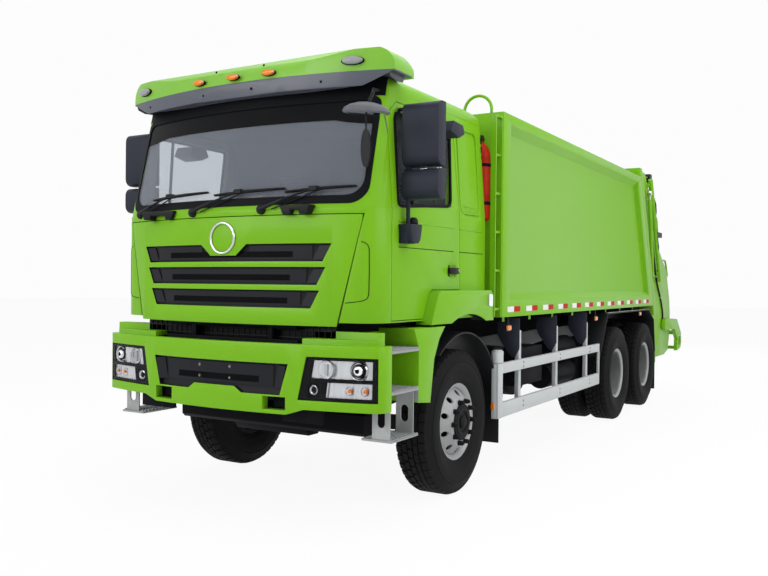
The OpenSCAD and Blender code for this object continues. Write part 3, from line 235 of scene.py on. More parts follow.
def dress(name, material, bevel=0.004, segments=2, extra=()):
    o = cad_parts[name]
    o.data.materials.clear()
    for m in (material, *extra):
        o.data.materials.append(m)
    if "custom_normal" in o.data.attributes:
        o.data.attributes.remove(o.data.attributes["custom_normal"])
    o.modifiers.new("weld", "WELD").merge_threshold = 0.00002
    d = o.modifiers.new("flat", "DECIMATE")
    d.decimate_type = "DISSOLVE"
    d.angle_limit = RAD(0.4)
    d.delimit = {"MATERIAL"}
    finish_mesh(o, bevel, segments)
    return o


def split(o, test, index):
    """Gives the CAD faces that pass test(centre, normal) another of the node's materials."""
    for f in o.data.polygons:
        if test(f.center, f.normal):
            f.material_index = index


# ---------------------------------------------------------------- mesh building
class Build:
    def __init__(self):
        self.v, self.f, self.m, self.mats = [], [], [], []

    def add(self, verts, faces, material):
        if material not in self.mats:
            self.mats.append(material)
        b = len(self.v)
        self.v += [tuple(p) for p in verts]
        self.f += [tuple(i + b for i in f) for f in faces]
        self.m += [self.mats.index(material)] * len(faces)

    def box(self, lo, hi, material):
        (a, b, c), (d, e, g) = lo, hi
        p = [(a, b, c), (d, b, c), (d, e, c), (a, e, c), (a, b, g), (d, b, g), (d, e, g), (a, e, g)]
        self.add(p, [(0, 3, 2, 1), (4, 5, 6, 7), (0, 1, 5, 4), (1, 2, 6, 5), (2, 3, 7, 6), (3, 0, 4, 7)], material)

    def prism(self, pts, axis, a, b, material):
        """2-D outline run along an axis: x takes (y, z), y takes (x, z), z takes (x, y)."""
        def at(p, t):
            return {"x": (t, p[0], p[1]), "y": (p[0], t, p[1]), "z": (p[0], p[1], t)}[axis]
        n = len(pts)
        area = sum(pts[i][0] * pts[(i + 1) % n][1] - pts[(i + 1) % n][0] * pts[i][1] for i in range(n))
        if (area < 0) != (axis == "y"):
            pts = pts[::-1]
        a, b = sorted((a, b))
        v = [at(p, a) for p in pts] + [at(p, b) for p in pts]
        f = [tuple(range(n))[::-1], tuple(range(n, 2 * n))]
        f += [(i, (i + 1) % n, n + (i + 1) % n, n + i) for i in range(n)]
        self.add(v, f, material)

    def tube(self, path, r, material, n=10, closed=False):
        path = [Vector(p) for p in path]
        k = len(path)
        verts, faces, up = [], [], None
        for i, p in enumerate(path):
            a = path[i - 1] if (i or closed) else p
            b = path[(i + 1) % k] if (i < k - 1 or closed) else p
            t = (b - a).normalized()
            if up is None:
                up = t.orthogonal().normalized()
            up = (up - t * up.dot(t)).normalized()
            side = t.cross(up)
            rr = r[i] if isinstance(r, (list, tuple)) else r
            for j in range(n):
                w = 2 * math.pi * j / n
                verts.append(p + up * rr * math.cos(w) + side * rr * math.sin(w))
        for i in range(k if closed else k - 1):
            for j in range(n):
                q, j2 = (i + 1) % k * n, (j + 1) % n
                faces.append((i * n + j, i * n + j2, q + j2, q + j))
        if not closed:
            faces += [tuple(range(n))[::-1], tuple(range((k - 1) * n, k * n))]
        self.add(verts, faces, material)

    def spin(self, profile, place, material, n=24):
        """Profile of (radius, height) turned round the local Z axis of a placement."""
        verts, faces, k = [], [], len(profile)
        for j in range(n):
            w = 2 * math.pi * j / n
            verts += [place @ Vector((r * math.cos(w), r * math.sin(w), h)) for r, h in profile]
        for j in range(n):
            a, d = j * k, (j + 1) % n * k
            faces += [(a + i, d + i, d + i + 1, a + i + 1) for i in range(k - 1)]
        self.add(verts, faces, material)

    def grid(self, fn, nu, nv, material):
        """Surface patch: fn(u, v) gives a point for u and v from 0 to 1."""
        k = nu + 1
        v = [fn(i / nu, j / nv) for j in range(nv + 1) for i in range(k)]
        f = [(j * k + i, j * k + i + 1, (j + 1) * k + i + 1, (j + 1) * k + i) for j in range(nv) for i in range(nu)]
        self.add(v, f, material)

    def sheet(self, x0, x1, z0, z1, front, material, nx, nz=1):
        """Patch between two widths and two heights, at the depth front(x, z)."""
        def at(u, v):
            x, z = x0 + (x1 - x0) * u, z0 + (z1 - z0) * v
            return x, front(x, z), z
        self.grid(at, nx, nz, material)

    def loft(self, loops, material, first=False, last=False, flip=False):
        """Skin over closed loops of equal length, with or without end caps."""
        n, k = len(loops[0]), len(loops)
        f = []
        for j in range(k - 1):
            for i in range(n):
                a, b, c, d = j * n + i, j * n + (i + 1) % n, (j + 1) * n + (i + 1) % n, (j + 1) * n + i
                f.append((a, d, c, b) if flip else (a, b, c, d))
        turn = -1 if flip else 1
        if first:
            f.append(tuple(range(n))[::-turn])
        if last:
            f.append(tuple(range((k - 1) * n, k * n))[::turn])
        self.add([p for loop in loops for p in loop], f, material)

    def made(self, name, body, bevel=0.0, segments=2, slot=None, replaces=None):
        me = bpy.data.meshes.new(name)
        me.from_pydata(self.v, [], self.f)
        for m in self.mats:
            me.materials.append(m)
        me.polygons.foreach_set("material_index", self.m)
        me.update()
        o = bpy.data.objects.new(name, me)
        scene.collection.objects.link(o)
        finish_mesh(o, bevel, segments)
        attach(o, body)
        if replaces:
            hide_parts(replaces)
        return o


def place(origin, axis):
    """Placement whose local Z runs along axis."""
    q = Vector(axis).to_track_quat("Z", "Y")
    return Matrix.Translation(Vector(origin)) @ q.to_matrix().to_4x4()


def upright(x, y, z=0):
    return Matrix.Translation((x, y, z))


def arc(cx, cy, r, a0, a1, n=8):
    turns = [RAD(a0 + (a1 - a0) * i / n) for i in range(n + 1)]
    return [(cx + r * math.cos(w), cy + r * math.sin(w)) for w in turns]


def round_box(x0, z0, x1, z1, low, top, n_low, n_top):
    """Corner points of a box with one radius for its lower and one for its upper corners."""
    pts = arc(x1 - low, z0 + low, low, -90, 0, n_low) + arc(x1 - top, z1 - top, top, 0, 90, n_top)
    return pts + arc(x0 + top, z1 - top, top, 90, 180, n_top) + arc(x0 + low, z0 + low, low, 180, 270, n_low)


def rounded(x0, z0, x1, z1, r, n=5):
    return round_box(x0, z0, x1, z1, r, r, n, n)


def outline(x0, z0, x1, z1, low, top, step=0.05):
    """Rounded outline with points close enough to bend with a curved front."""
    pts = round_box(x0, z0, x1, z1, low, top, 8, 6)
    out = []
    for i, p in enumerate(pts):
        q = pts[(i + 1) % len(pts)]
        n = max(1, int(math.hypot(q[0] - p[0], q[1] - p[1]) / step))
        out += [(p[0] + (q[0] - p[0]) * t / n, p[1] + (q[1] - p[1]) * t / n) for t in range(n)]
    return out


def ellipse(n):
    return [(math.cos(t), math.sin(t)) for t in np.linspace(0, 2 * math.pi, n, endpoint=False)]


def lerp(r, r0, z0, r1, z1):
    return z0 + (z1 - z0) * (r - r0) / (r1 - r0)


# ---------------------------------------------------------------- curved fronts
def nose(x, half, big, small):
    """Distance behind the foremost line at x, for a big front radius and small corner radii."""
    x = abs(x)
    cx = half - small
    cy = big - math.sqrt((big - small) ** 2 - cx * cx)
    if x <= big * cx / (big - small):
        return big - math.sqrt(big * big - x * x)
    return cy - math.sqrt(max(0, small * small - (x - cx) ** 2))


def cab_y(x, z):
    v = nose(min(abs(x), CABW - 0.001), CABW, 3.7, 0.19)
    if z <= BELT:
        return CABF + v
    return CABF + v / math.cos(RAKE) + (z - BELT) * math.tan(RAKE)


def cab_at(x, z, out):
    """Point a distance ahead of the cab's front."""
    return Vector((x, cab_y(x, z) - out, z))


def bum_y(x, z=0):
    return BUMF + nose(min(abs(x), 1.244), 1.245, 4.2, 0.09)


def cab_x(z):
    """Outer face of the cab's side at height z."""
    return CABW if z <= BELT else CABW - 0.060 * (z - BELT) / (3.060 - BELT)


def behind(front, deep):
    """The curved front moved back."""
    return lambda x, z: front(x, z) + deep


def band(b, outer, inner, front, material, out=0.004, deep=0.01):
    """Flat ring between two matching outlines of (x, z), laid on a curved front."""
    n = len(outer)
    v, f = [], []
    for pts, d in ((outer, out), (inner, out), (outer, -deep), (inner, -deep)):
        v += [(x, front(x, z) - d, z) for x, z in pts]
    for i in range(n):
        j = (i + 1) % n
        f += [(i, j, n + j, n + i), (2 * n + i, 3 * n + i, 3 * n + j, 2 * n + j),
              (i, 2 * n + i, 2 * n + j, j), (n + i, n + j, 3 * n + j, 3 * n + i)]
    b.add(v, f, material)


def curved_plate(b, x0, x1, z0, z1, front, d0, d1, material, nx):
    """Plate between two depths behind a curved front."""
    k = nx + 1
    xs = [x0 + (x1 - x0) * i / nx for i in range(k)]
    v = [(x, front(x, z) + d, z) for z in (z0, z1) for d in (d0, d1) for x in xs]
    f = []
    for i in range(nx):
        f += [(i, i + 1, 2 * k + i + 1, 2 * k + i), (k + i + 1, k + i, 3 * k + i, 3 * k + i + 1),
              (2 * k + i, 2 * k + i + 1, 3 * k + i + 1, 3 * k + i), (i + 1, i, k + i, k + i + 1)]
    f += [(0, 2 * k, 3 * k, k), (nx, k + nx, 3 * k + nx, 2 * k + nx)]
    b.add(v, f, material)


def honeycomb(b, half, z0, z1, front, depth, material, cell=0.0125, thick=0.0015, tall=0.003):
    """Open hexagon mesh laid behind a curved front, from -half to half."""
    dx, dz = cell * math.sqrt(3) / 2, cell * 0.75
    turns = [(math.cos(RAD(30 + 60 * k)), math.sin(RAD(30 + 60 * k))) for k in range(6)]
    ro, ri = cell / 2, cell / 2 - thick
    for r in range(int((z1 - z0) / dz)):
        z = z0 + dz * (r + 0.5)
        for c in range(int(2 * half / dx)):
            x = -half + dx * (c + 0.5 + 0.5 * (r % 2))
            if x > half:
                continue
            y = front(x, z) + depth
            v, f = [], []
            for cw, sw in turns:
                v += [(x + ro * cw, y, z + ro * sw), (x + ri * cw, y, z + ri * sw),
                      (x + ri * cw, y + tall, z + ri * sw)]
            for k in range(6):
                a, n2 = 3 * k, 3 * ((k + 1) % 6)
                f += [(a, a + 1, n2 + 1, n2), (a + 1, a + 2, n2 + 2, n2 + 1)]
            b.add(v, f, material)


def bolt(b, at, axis, r, h, material, n=6):
    profile = [(TIP, h), (r * 0.86, h), (r, h * 0.8), (r, 0), (r * 1.5, 0), (r * 1.5, -0.002), (TIP, -0.002)]
    b.spin(profile, place(at, axis), material, n)


# ---------------------------------------------------------------- CAD surfaces
# The bumper is dressed twice, here and below, which softens its edges.
for material, bevel, segments, names in (
        (GREEN, 0.004, 2, "front_bumper container_sides container_roof container_front_wall container_rear_frame "
                          "ladder tailgate packer_carriage bin_lifter lift_barrels"),
        (BLACKF, 0.004, 2, "leaf_springs side_tanks"),
        (CAST, 0.004, 2, "engine_block axles left_knuckle right_knuckle"),
        (STEEL, 0.004, 2, "silencer"), (GREY, 0.006, 2, "side_guards"), (PLAST, 0.003, 2, "mudguards"),
        (GLASS, 0, 2, "windscreen"), (SIDEG, 0, 2, "left_door_window right_door_window"),
        (CLOTH, 0.03, 4, "seats"), (DASH, 0.008, 3, "dashboard"), (CHROME, 0.001, 2, "lift_rods"),
        (BARE, 0.004, 2, "packer_blade ejector_plate"), (GLOSSB, 0.004, 2, "front_lamps"),
        (MIRR_SH, 0.012, 4, "left_mirrors right_mirrors")):
    for name in names.split():
        dress(name, material, bevel, segments)
VISOR = two_tone("visor_green_and_smoked", (0.085, 0.092, 0.115), (0.195, 0.460, 0.040), 3.046, AX - 0.90)
dress("roof_visor", VISOR, 0.006, 3)


def from_axle(c):
    return math.hypot(c.y - AX, c.z - WR)


o = dress("cab_shell", GREEN, extra=(INNER, BLACKF))
split(o, lambda c, n: (abs(c.x) < cab_x(c.z) - 0.03 and c.z > 1.40
                       and cab_y(c.x, c.z) + 0.03 < c.y < CAB_BACK - 0.03), 1)
split(o, lambda c, n: (c.z < 1.36 and abs(c.x) < 1.10) or (n.z < -0.35 and c.z < 1.46) or from_axle(c) < 0.70, 2)
split(o, lambda c, n: abs(c.x) > 1.04 and c.z < 1.62 and n.z > -0.3 and c.y < CAB_BACK and from_axle(c) > 0.72, 0)
for s, side in SIDES:
    o = dress(side + "_door", GREEN, extra=(INNER, PLAST))
    split(o, lambda c, n: abs(c.x) < cab_x(c.z) - 0.03, 1)
    split(o, lambda c, n: AX - 0.24 < c.y < AX - 0.10 and 1.68 < c.z < 1.785 and abs(c.x) < CABW - 0.002, 2)
o = dress("front_panel", GREEN, 0.003, extra=(PLAST,))
split(o, lambda c, n: c.y > cab_y(c.x, c.z) + 0.003 and abs(c.x) < 0.87 and 1.44 < c.z < 1.90, 1)
o = dress("front_bumper", GREEN, extra=(PLAST,))
split(o, lambda c, n: 0.88 < c.z < 1.10 and abs(c.x) < 0.62 and c.y > bum_y(c.x) + 0.003, 1)
o = dress("cab_steps", GREEN, 0.003, extra=(TREADM,))
split(o, lambda c, n: (c.z < 0.612 or (c.z < 0.91 and 1.07 < abs(c.x) < 1.22 and n.z < 0.9)
                       or (c.y < AX - 0.906 and (0.902 < c.z < 0.927 or 1.172 < c.z < 1.197))), 1)
o = dress("cab_roof", GREEN, extra=(INNER,))
split(o, lambda c, n: n.z < -0.25 and abs(c.x) < 1.06 and cab_y(c.x, c.z) + 0.02 < c.y < CAB_BACK - 0.02, 1)
o = dress("chassis_frame", BLACKF, extra=(GREEN,))
split(o, lambda c, n: c.y > AX3 + 0.9, 1)
o = dress("container_floor", BLACKF, extra=(GREEN,))
split(o, lambda c, n: abs(c.x) > 1.10 and c.z > 1.30, 1)


# ---------------------------------------------------------------- wheels
TYRE = [(0.2795, -0.1045), (0.300, -0.122), (0.318, -0.131), (0.331, -0.1345), (0.336, -0.139), (0.346, -0.140),
        (0.352, -0.1415), (0.385, -0.1515), (0.420, -0.1560), (0.452, -0.1535), (0.462, -0.1520), (0.465, -0.1545),
        (0.470, -0.1545), (0.473, -0.1490), (0.492, -0.1425), (0.510, -0.1335), (0.5285, -0.1275), (0.5485, -0.1165),
        (0.5490, -0.100)]
TYRE = TYRE + [(r, -z) for r, z in TYRE[::-1]]
SHOULDER = [(0.5375, 0.074), (0.5625, 0.074), (0.5625, 0.0935), (0.5590, 0.103), (0.5505, 0.1215), (0.5270, 0.1290),
            (0.5240, 0.112)]
BLOCKS = 46                             # tread blocks round the tyre
TWIN = 0.172                            # half the distance between twin tyres
BARREL = 0.2595                         # inner radius of the rim
INNER_RIM = [(BARREL, -0.02), (BARREL, -0.118), (0.3015, -0.118), (0.3040, -0.112), (0.3015, -0.106),
             (0.2795, -0.100), (0.2795, -0.02)]
OUTER_RIM = [(0.2795, -0.02), (0.2795, 0.100), (0.3015, 0.106), (0.3050, 0.112), (0.3025, 0.119), (0.2960, 0.1205),
             (0.2900, 0.116), (0.2800, 0.110), (0.2700, 0.104), (BARREL, 0.090), (BARREL, -0.02)]
TWIN_HUB = (([(BARREL, 0.28), (BARREL, 0.08)], RIM, 72),
            ([(0.182, 0.012), (0.176, 0.008), (0.142, 0.008)], RIM, 60),
            ([(0.142, 0.006), (0.138, 0.030), (0.134, 0.150), (0.126, 0.162), (0.110, 0.180), (0.070, 0.180),
              (0.066, 0.176), (TIP, 0.176)], CAST, 40),
            ([(TIP, -0.03), (0.258, -0.03)], PLAST, 40))
FRONT_HUB = (([(0.190, 0.154), (0.188, 0.158), (0.184, 0.160), (0.118, 0.160)], RIM, 60),
             ([(0.141, 0.158), (0.141, 0.168), (0.137, 0.172), (0.118, 0.173), (0.114, 0.178), (0.104, 0.180),
               (0.092, 0.180), (0.084, 0.176), (0.080, 0.166), (TIP, 0.164)], CAST, 40),
             ([(0.050, 0.162), (0.049, 0.176), (0.038, 0.188), (0.020, 0.193), (TIP, 0.194)], CAST, 24),
             ([(TIP, -0.02), (0.258, -0.02)], PLAST, 40))


def tyre(b, P, z0, turn):
    T = P @ upright(0, 0, z0) @ Matrix.Rotation(turn, 4, "Z")
    b.spin(TYRE, T, RUBBER, 96)
    step = 2 * math.pi / BLOCKS
    rows = [(SHOULDER, 0.0, 0.80), ([(r, -z) for r, z in SHOULDER[::-1]], 0.5, 0.80)]
    for zc, off in ((-0.047, 0.25), (0.0, 0.75), (0.047, 0.25)):
        rib = [(0.5440, zc - 0.020), (0.5625, zc - 0.0185), (0.5625, zc + 0.0185), (0.5440, zc + 0.020)]
        rows.append((rib, off, 0.84))
    for profile, off, wide in rows:
        for k in range(BLOCKS):
            loops = []
            for e in (-0.5, 0.0, 0.5):
                w, skew = step * (k + off + wide * e), 0.10 * step if e > 0 else 0
                turned = [(r, w + (skew if z > 0 else -skew), z) for r, z in profile]
                loops.append([T @ Vector((r * math.cos(q), r * math.sin(q), z)) for r, q, z in turned])
            b.loft(loops, RUBBER, first=True, last=True)


def disc(b, P, cone, r_in, hole_r, at_r, deep, holes=10, n=32):
    """Dished rim disc with a ring of hand holes; cone(r) is its height."""
    half = math.pi / holes
    edge, ring = [], []
    for q in range(n):
        t = q / n * 4
        u = t - int(t)
        a, r = [(-1 + 2 * u, 0), (1, u), (1 - 2 * u, 1), (-1, 1 - u)][int(t)]
        a, r = a * half, r_in + r * (BARREL - r_in)
        w = math.atan2(r - at_r, a * at_r)
        edge.append((a, r))
        ring.append((hole_r * math.cos(w) / at_r, at_r + hole_r * math.sin(w)))
    for k in range(holes):
        turn = 2 * half * k
        b.loft([[P @ Vector((r * math.cos(turn + a), r * math.sin(turn + a), cone(r) - d)) for a, r in pts]
                for pts, d in ((edge, 0), (ring, 0), (ring, deep))], RIM)


def wheel(name, cx, cy, s, twin):
    b = Build()
    P = upright(cx, cy, WR) @ Matrix.Rotation(s * math.pi / 2, 4, "Y")
    rims = (TWIN, -TWIN) if twin else (0.0,)
    for i, z0 in enumerate(rims):
        tyre(b, P, z0, 0.03 * i + 0.2 * cy)
        b.spin(INNER_RIM, P @ upright(0, 0, z0), CAST, 72)
        b.spin(OUTER_RIM, P @ upright(0, 0, z0), RIM, 72)
    if twin:
        disc(b, P, lambda r: lerp(r, 0.178, 0.008, BARREL, 0.084), 0.182, 0.023, 0.213, 0.010)
        face, nuts_r, cap_bolts, cap_r, cap = 0.008, 0.160, 10, 0.092, 0.179
    else:
        disc(b, P, lambda r: lerp(r, 0.190, 0.154, BARREL, 0.082), 0.190, 0.0225, 0.2215, 0.014)
        face, nuts_r, cap_bolts, cap_r, cap = 0.160, 0.164, 8, 0.098, 0.179
    for profile, material, n in TWIN_HUB if twin else FRONT_HUB:
        b.spin(profile, P, material, n)
    for k in range(10):
        w = 2 * math.pi * (k + 0.5) / 10
        N = P @ upright(nuts_r * math.cos(w), nuts_r * math.sin(w), face) @ Matrix.Rotation(w, 4, "Z")
        b.spin([(0.021, 0), (0.021, 0.006), (0.0180, 0.007), (0.0180, 0.026)], N, CAST, 18)
        b.spin([(0.0180, 0.026), (0.0180, 0.034), (0.014, 0.037), (0.013, 0.044), (0.008, 0.049), (TIP, 0.050)],
               N, CAST, 12)
    for k in range(cap_bolts):
        w = 2 * math.pi * k / cap_bolts
        b.spin([(0.0085, -0.004), (0.0085, -0.001), (TIP, 0.0)],
               P @ upright(cap_r * math.cos(w), cap_r * math.sin(w), cap), CAST, 6)
    valve = ((0.250, 0.02, 0.03), (0.246, 0.022, 0.075), (0.240, 0.026, 0.105))
    b.tube([P @ Vector((x, y, rims[0] + z)) for x, y, z in valve], 0.004, STEEL, 8)
    b.made(name + "_and_tyre", name, slot="wheel", replaces=name)


FRONT_X, REAR_X = 1.018, 0.930          # middle of the front tyres and between the twin tyres
for s, side in SIDES:
    wheel("front_%s_wheel" % side, s * FRONT_X, AX, s, False)
    wheel("middle_%s_wheel" % side, s * REAR_X, AX2, s, True)
    wheel("rear_%s_wheel" % side, s * REAR_X, AX3, s, True)

# ---------------------------------------------------------------- front panel: grille inserts and blank badge ring
g = Build()
for i, z0 in enumerate((1.775, 1.618, 1.462)):      # the three slots, from the top
    z1, low = z0 + 0.120, 0.788 - 0.042 * i
    flat = low - 0.085

    def sloped_end(u, v):
        z = z0 + 0.012 + 0.096 * v
        half = low + 0.062 * (z - z0) / 0.120
        y = cab_y(half, z) * (1 - u) + cab_y(half - 0.09, z) * u
        return e * (half - 0.006 - 0.085 * u), y + 0.008 + 0.016 * u, z
    for e in (-1, 1):
        g.grid(sloped_end, 3, 2, GRILLE)
    g.sheet(-flat, flat, z0 + 0.012, z1 - (0.010 if i else 0.080), behind(cab_y, 0.024), GRILLE, 40, 2)
    if i == 0:
        for e in (-1, 1):
            g.sheet(e * 0.215, e * flat, z1 - 0.080, z1 - 0.010, behind(cab_y, 0.024), GRILLE, 20, 2)
    zc, half_mesh = z0 + 0.050, 0.555 - 0.02 * i
    honeycomb(g, half_mesh, zc - 0.019, zc + 0.019, cab_y, 0.0215, GLOSSB)
    g.sheet(-half_mesh - 0.005, half_mesh + 0.005, zc - 0.021, zc + 0.019, behind(cab_y, 0.0235), GLOSSB, 40)
g.made("grille_inserts", "front_panel", slot="dark_plastic")

g = Build()
BADGE_Z = 1.940
g.tube([(0.106 * c, cab_y(0.106 * c, 1.9) - 0.006, BADGE_Z + 0.106 * d) for c, d in ellipse(64)], 0.0095, CHROME, 12,
       closed=True)
g.spin([(TIP, 0.004), (0.085, 0.003), (0.098, 0.000), (0.104, -0.004)], place((0, CABF, BADGE_Z), (0, -1, 0)),
       GREEN, 48)
g.made("blank_badge_ring", "front_panel", slot="chrome_rod")

# ---------------------------------------------------------------- bumper: grille insert and headlamps
g = Build()
for e in (-1, 1):
    def bumper_end(u, v):
        z = 0.930 + 0.150 * v
        half = 0.560 + 0.045 * (z - 0.885) / 0.210
        return e * (half - 0.012 - 0.075 * u), bum_y(0.5) + 0.010 + 0.018 * u, z
    g.grid(bumper_end, 3, 2, GRILLE)
g.sheet(-0.48, 0.48, 0.935, 1.080, behind(bum_y, 0.0285), GRILLE, 30, 2)
honeycomb(g, 0.36, 0.962, 1.000, bum_y, 0.0255, GLOSSB)
g.sheet(-0.365, 0.365, 0.958, 1.002, behind(bum_y, 0.028), GLOSSB, 30)
for x, z in ((-0.155, 1.052), (0.120, 1.052), (-0.155, 0.975), (0.120, 0.975)):
    bolt(g, (x, bum_y(x) + 0.0275, z), (0, -1, 0), 0.008, 0.005, BARE)
g.made("bumper_grille_insert", "chassis", slot="dark_plastic")

LAMP_LOW, LAMP_TOP = 0.866, 1.146       # heights of the lamp's housing
BEZEL = ((0, 1, 0.866, 0.884), (0, 1, 0.985, 1.008), (0, 1, 1.128, 1.146), (0, 0.10, 0.884, 0.985),
         (0.93, 1, 0.884, 0.985), (0, 0.10, 1.008, 1.128), (0.93, 1, 1.008, 1.128), (0.30, 0.335, 0.884, 0.985))


def lamp_x(s, u, z):
    """Width at the share u of the lamp, whose inner edge slopes."""
    x0 = 0.675 + 0.060 * (z - 0.862) / 0.288
    return s * (x0 + 0.004 + (1.208 - x0) * u)


def lamp_at(s, u, z, deep):
    x = lamp_x(s, u, z)
    return x, bum_y(x) + deep, z


def rippled(s, u0, u1, z0, z1, z_mid, deep, wave, turns):
    """Ribbed reflector strip, whose depth is that of one height."""
    def at(u, v):
        share, z = u0 + (u1 - u0) * u, z0 + (z1 - z0) * v
        return lamp_x(s, share, z), bum_y(lamp_x(s, share, z_mid)) + deep + wave * math.sin(turns * u), z
    lamp.grid(at, 40, 1, REFLECT)


lamp = Build()
for s in (1, -1):
    # housing tray, then the bezel with two windows
    lamp.grid(lambda u, v: lamp_at(s, u, LAMP_LOW + 0.280 * v, 0.085), 16, 2, GLOSSB)
    for z in (LAMP_LOW, LAMP_TOP):
        lamp.grid(lambda u, v: lamp_at(s, u, z, 0.004 + 0.081 * v), 16, 1, GLOSSB)
    for end in (0.0, 1.0):
        lamp.grid(lambda u, v: lamp_at(s, end, LAMP_LOW + 0.280 * u, 0.004 + 0.081 * v), 4, 1, GLOSSB)
    for u0, u1, z0, z1 in BEZEL:
        lamp.grid(lambda u, v: lamp_at(s, u0 + (u1 - u0) * u, z0 + (z1 - z0) * v, 0.012), 12, 1, GLOSSB)
    small_y = bum_y(lamp_x(s, 0.2, 0.9)) + 0.020
    lamp.grid(lambda u, v: (lamp_x(s, 0.10 + 0.20 * u, 0.884 + 0.101 * v), small_y, 0.884 + 0.101 * v), 4, 1, GLOSSB)
    # main reflectors: an open bowl inboard and a projector outboard
    inner, yb = s * 0.868, bum_y(0.87) + 0.014
    P = place((inner, yb, 1.068), (0.04 * s, -1, 0))
    lamp.spin([(0.058, 0.0), (0.056, -0.010), (0.050, -0.026), (0.040, -0.042), (0.026, -0.055), (0.012, -0.060),
               (TIP, -0.061)], P, REFLECT, 32)
    lamp.spin([(0.062, -0.016), (0.062, -0.004), (0.060, 0.001), (0.057, -0.002)], P, SILVER, 32)
    lamp.box((inner - 0.011, yb - 0.002, 1.030), (inner + 0.011, yb + 0.030, 1.106), SILVER)
    for r in (0.046, 0.034):
        step = [(r - d, h * r / 0.046 - 0.040) for d, h in ((0, 0.020), (0.002, 0.022), (0.003, 0.018))]
        lamp.spin(step, P, SILVER, 32)
    lamp.spin([(0.013, -0.062), (0.013, -0.020), (0.009, -0.012), (TIP, -0.010)], P, SILVER, 16)
    P = place((s * 1.082, bum_y(1.082) + 0.014, 1.068), (0.10 * s, -1, 0))
    for profile, material, n in (
            ([(0.066, -0.010), (0.060, 0.0), (0.052, -0.006), (0.046, -0.020)], CHROME, 32),
            ([(0.046, -0.020), (0.044, -0.002), (0.039, 0.002), (0.036, -0.002)], GLOSSB, 32),
            ([(0.036, -0.004), (0.032, 0.006), (0.022, 0.013), (0.010, 0.016), (TIP, 0.017)], MIRROR, 24),
            ([(0.016, 0.0145), (0.012, 0.018), (TIP, 0.019)], GLOSSB, 20)):
        lamp.spin(profile, P, material, n)
    rippled(s, 0.10, 0.93, 1.008, 1.128, 1.0, 0.030, 0.004, 40)
    # indicator with two bulbs, the small inboard lamp and the clear cover
    rippled(s, 0.335, 0.930, 0.884, 0.985, 0.9, 0.028, 0.003, 60)
    for x in (1.025, 1.125):
        P = place((s * x, bum_y(x) + 0.022, 0.935), (0.05 * s, -1, 0))
        lamp.spin([(0.030, 0.002), (0.024, -0.006), (0.012, -0.012), (TIP, -0.013)], P, CHROME, 20)
        lamp.spin([(0.014, -0.010), (0.014, 0.002), (0.009, 0.010), (TIP, 0.012)], P, AMBER, 16)
    lamp.spin([(0.032, 0.002), (0.028, 0.004), (0.024, -0.002), (0.014, -0.010), (TIP, -0.012)],
              place((s * 0.782, bum_y(0.78) + 0.018, 0.932), (0.0, -1, 0)), CHROME, 24)
    lamp.grid(lambda u, v: lamp_at(s, u, 0.868 + 0.276 * v, 0.004), 20, 4, LENS)
lamp.made("headlamp_units", "chassis", slot="lamp_lens", replaces="front_lamps")

# ---------------------------------------------------------------- cab front: screen surround, wipers, grips, visor
c = Build()
W, Z0, Z1 = 1.062, 2.172, 2.882         # half width and heights of the screen
outer = outline(-W - 0.014, Z0 - 0.014, W + 0.014, Z1 + 0.014, 0.122, 0.062)
inner = [(x * (W - 0.036) / W, Z0 + 0.054 + (z - Z0) * (Z1 - Z0 - 0.084) / (Z1 - Z0)) for x, z in outer]
band(c, outer, inner, cab_y, SEAL_AND_SHADE, 0.003, 0.006)


def screen_band_and_visor_shadow(u, v):
    """Dark band across the screen's top, with drooping ends: partly the glass's own dark band, partly painted shadow
    of the visor.
    """
    x = (2 * u - 1) * 1.035
    low = 2.735 - 0.035 * max(0.0, (abs(x) - 0.80) / 0.235) ** 0.5
    z = low + (2.872 - low) * v
    return x, cab_y(x, z) + 0.005, z


c.grid(screen_band_and_visor_shadow, 48, 6, GLOSSB)
# black plate across the header under the visor: painted shadow of the visor
curved_plate(c, -1.09, 1.09, 2.895, 3.020, cab_y, -0.004, 0.004, SEAL_AND_SHADE, 40)
c.made("screen_surround_and_visor_shadow", "cab", slot="dark_plastic")

f = Build()
y = VISF + 0.185
flap = [(y, 3.040), (y + 0.02, 3.000), (y + 0.09, 2.985), (y + 0.18, 2.992), (y + 0.21, 3.040)]
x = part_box("roof_visor")[1].x - 0.030
for s in (1, -1):
    f.prism(flap, "x", s * (x - 0.008), s * x, SHADEG)
f.made("visor_end_flaps", "cab", 0.002, slot="dark_plastic")

c = Build()
# dark line of painted shade in the gap round the front corner panel
GAP_SHADE_LINE = ((1.046, 1.904), (1.056, 1.903), (1.066, 1.900), (1.084, 1.885), (1.092, 1.860), (1.094, 1.700),
             (1.092, 1.560), (1.084, 1.532), (1.060, 1.518), (1.000, 1.508), (0.945, 1.502))
for s in (1, -1):
    c.tube([(s * x, cab_y(x, z) + 0.0005, z) for x, z in GAP_SHADE_LINE], 0.0035, SEAM_SHADE, 8)
for i in range(6):                      # louvred vent down the right corner's edge
    z = 1.520 + 0.062 * i
    louvre = [(AX - 1.165, z), (AX - 1.115, z + 0.004), (AX - 1.115, z + 0.050), (AX - 1.165, z + 0.046)]
    c.prism(louvre, "x", -1.158, -1.1665, GRILLE)
c.made("corner_panel_shade_lines_and_vent", "cab", slot="green_paint")

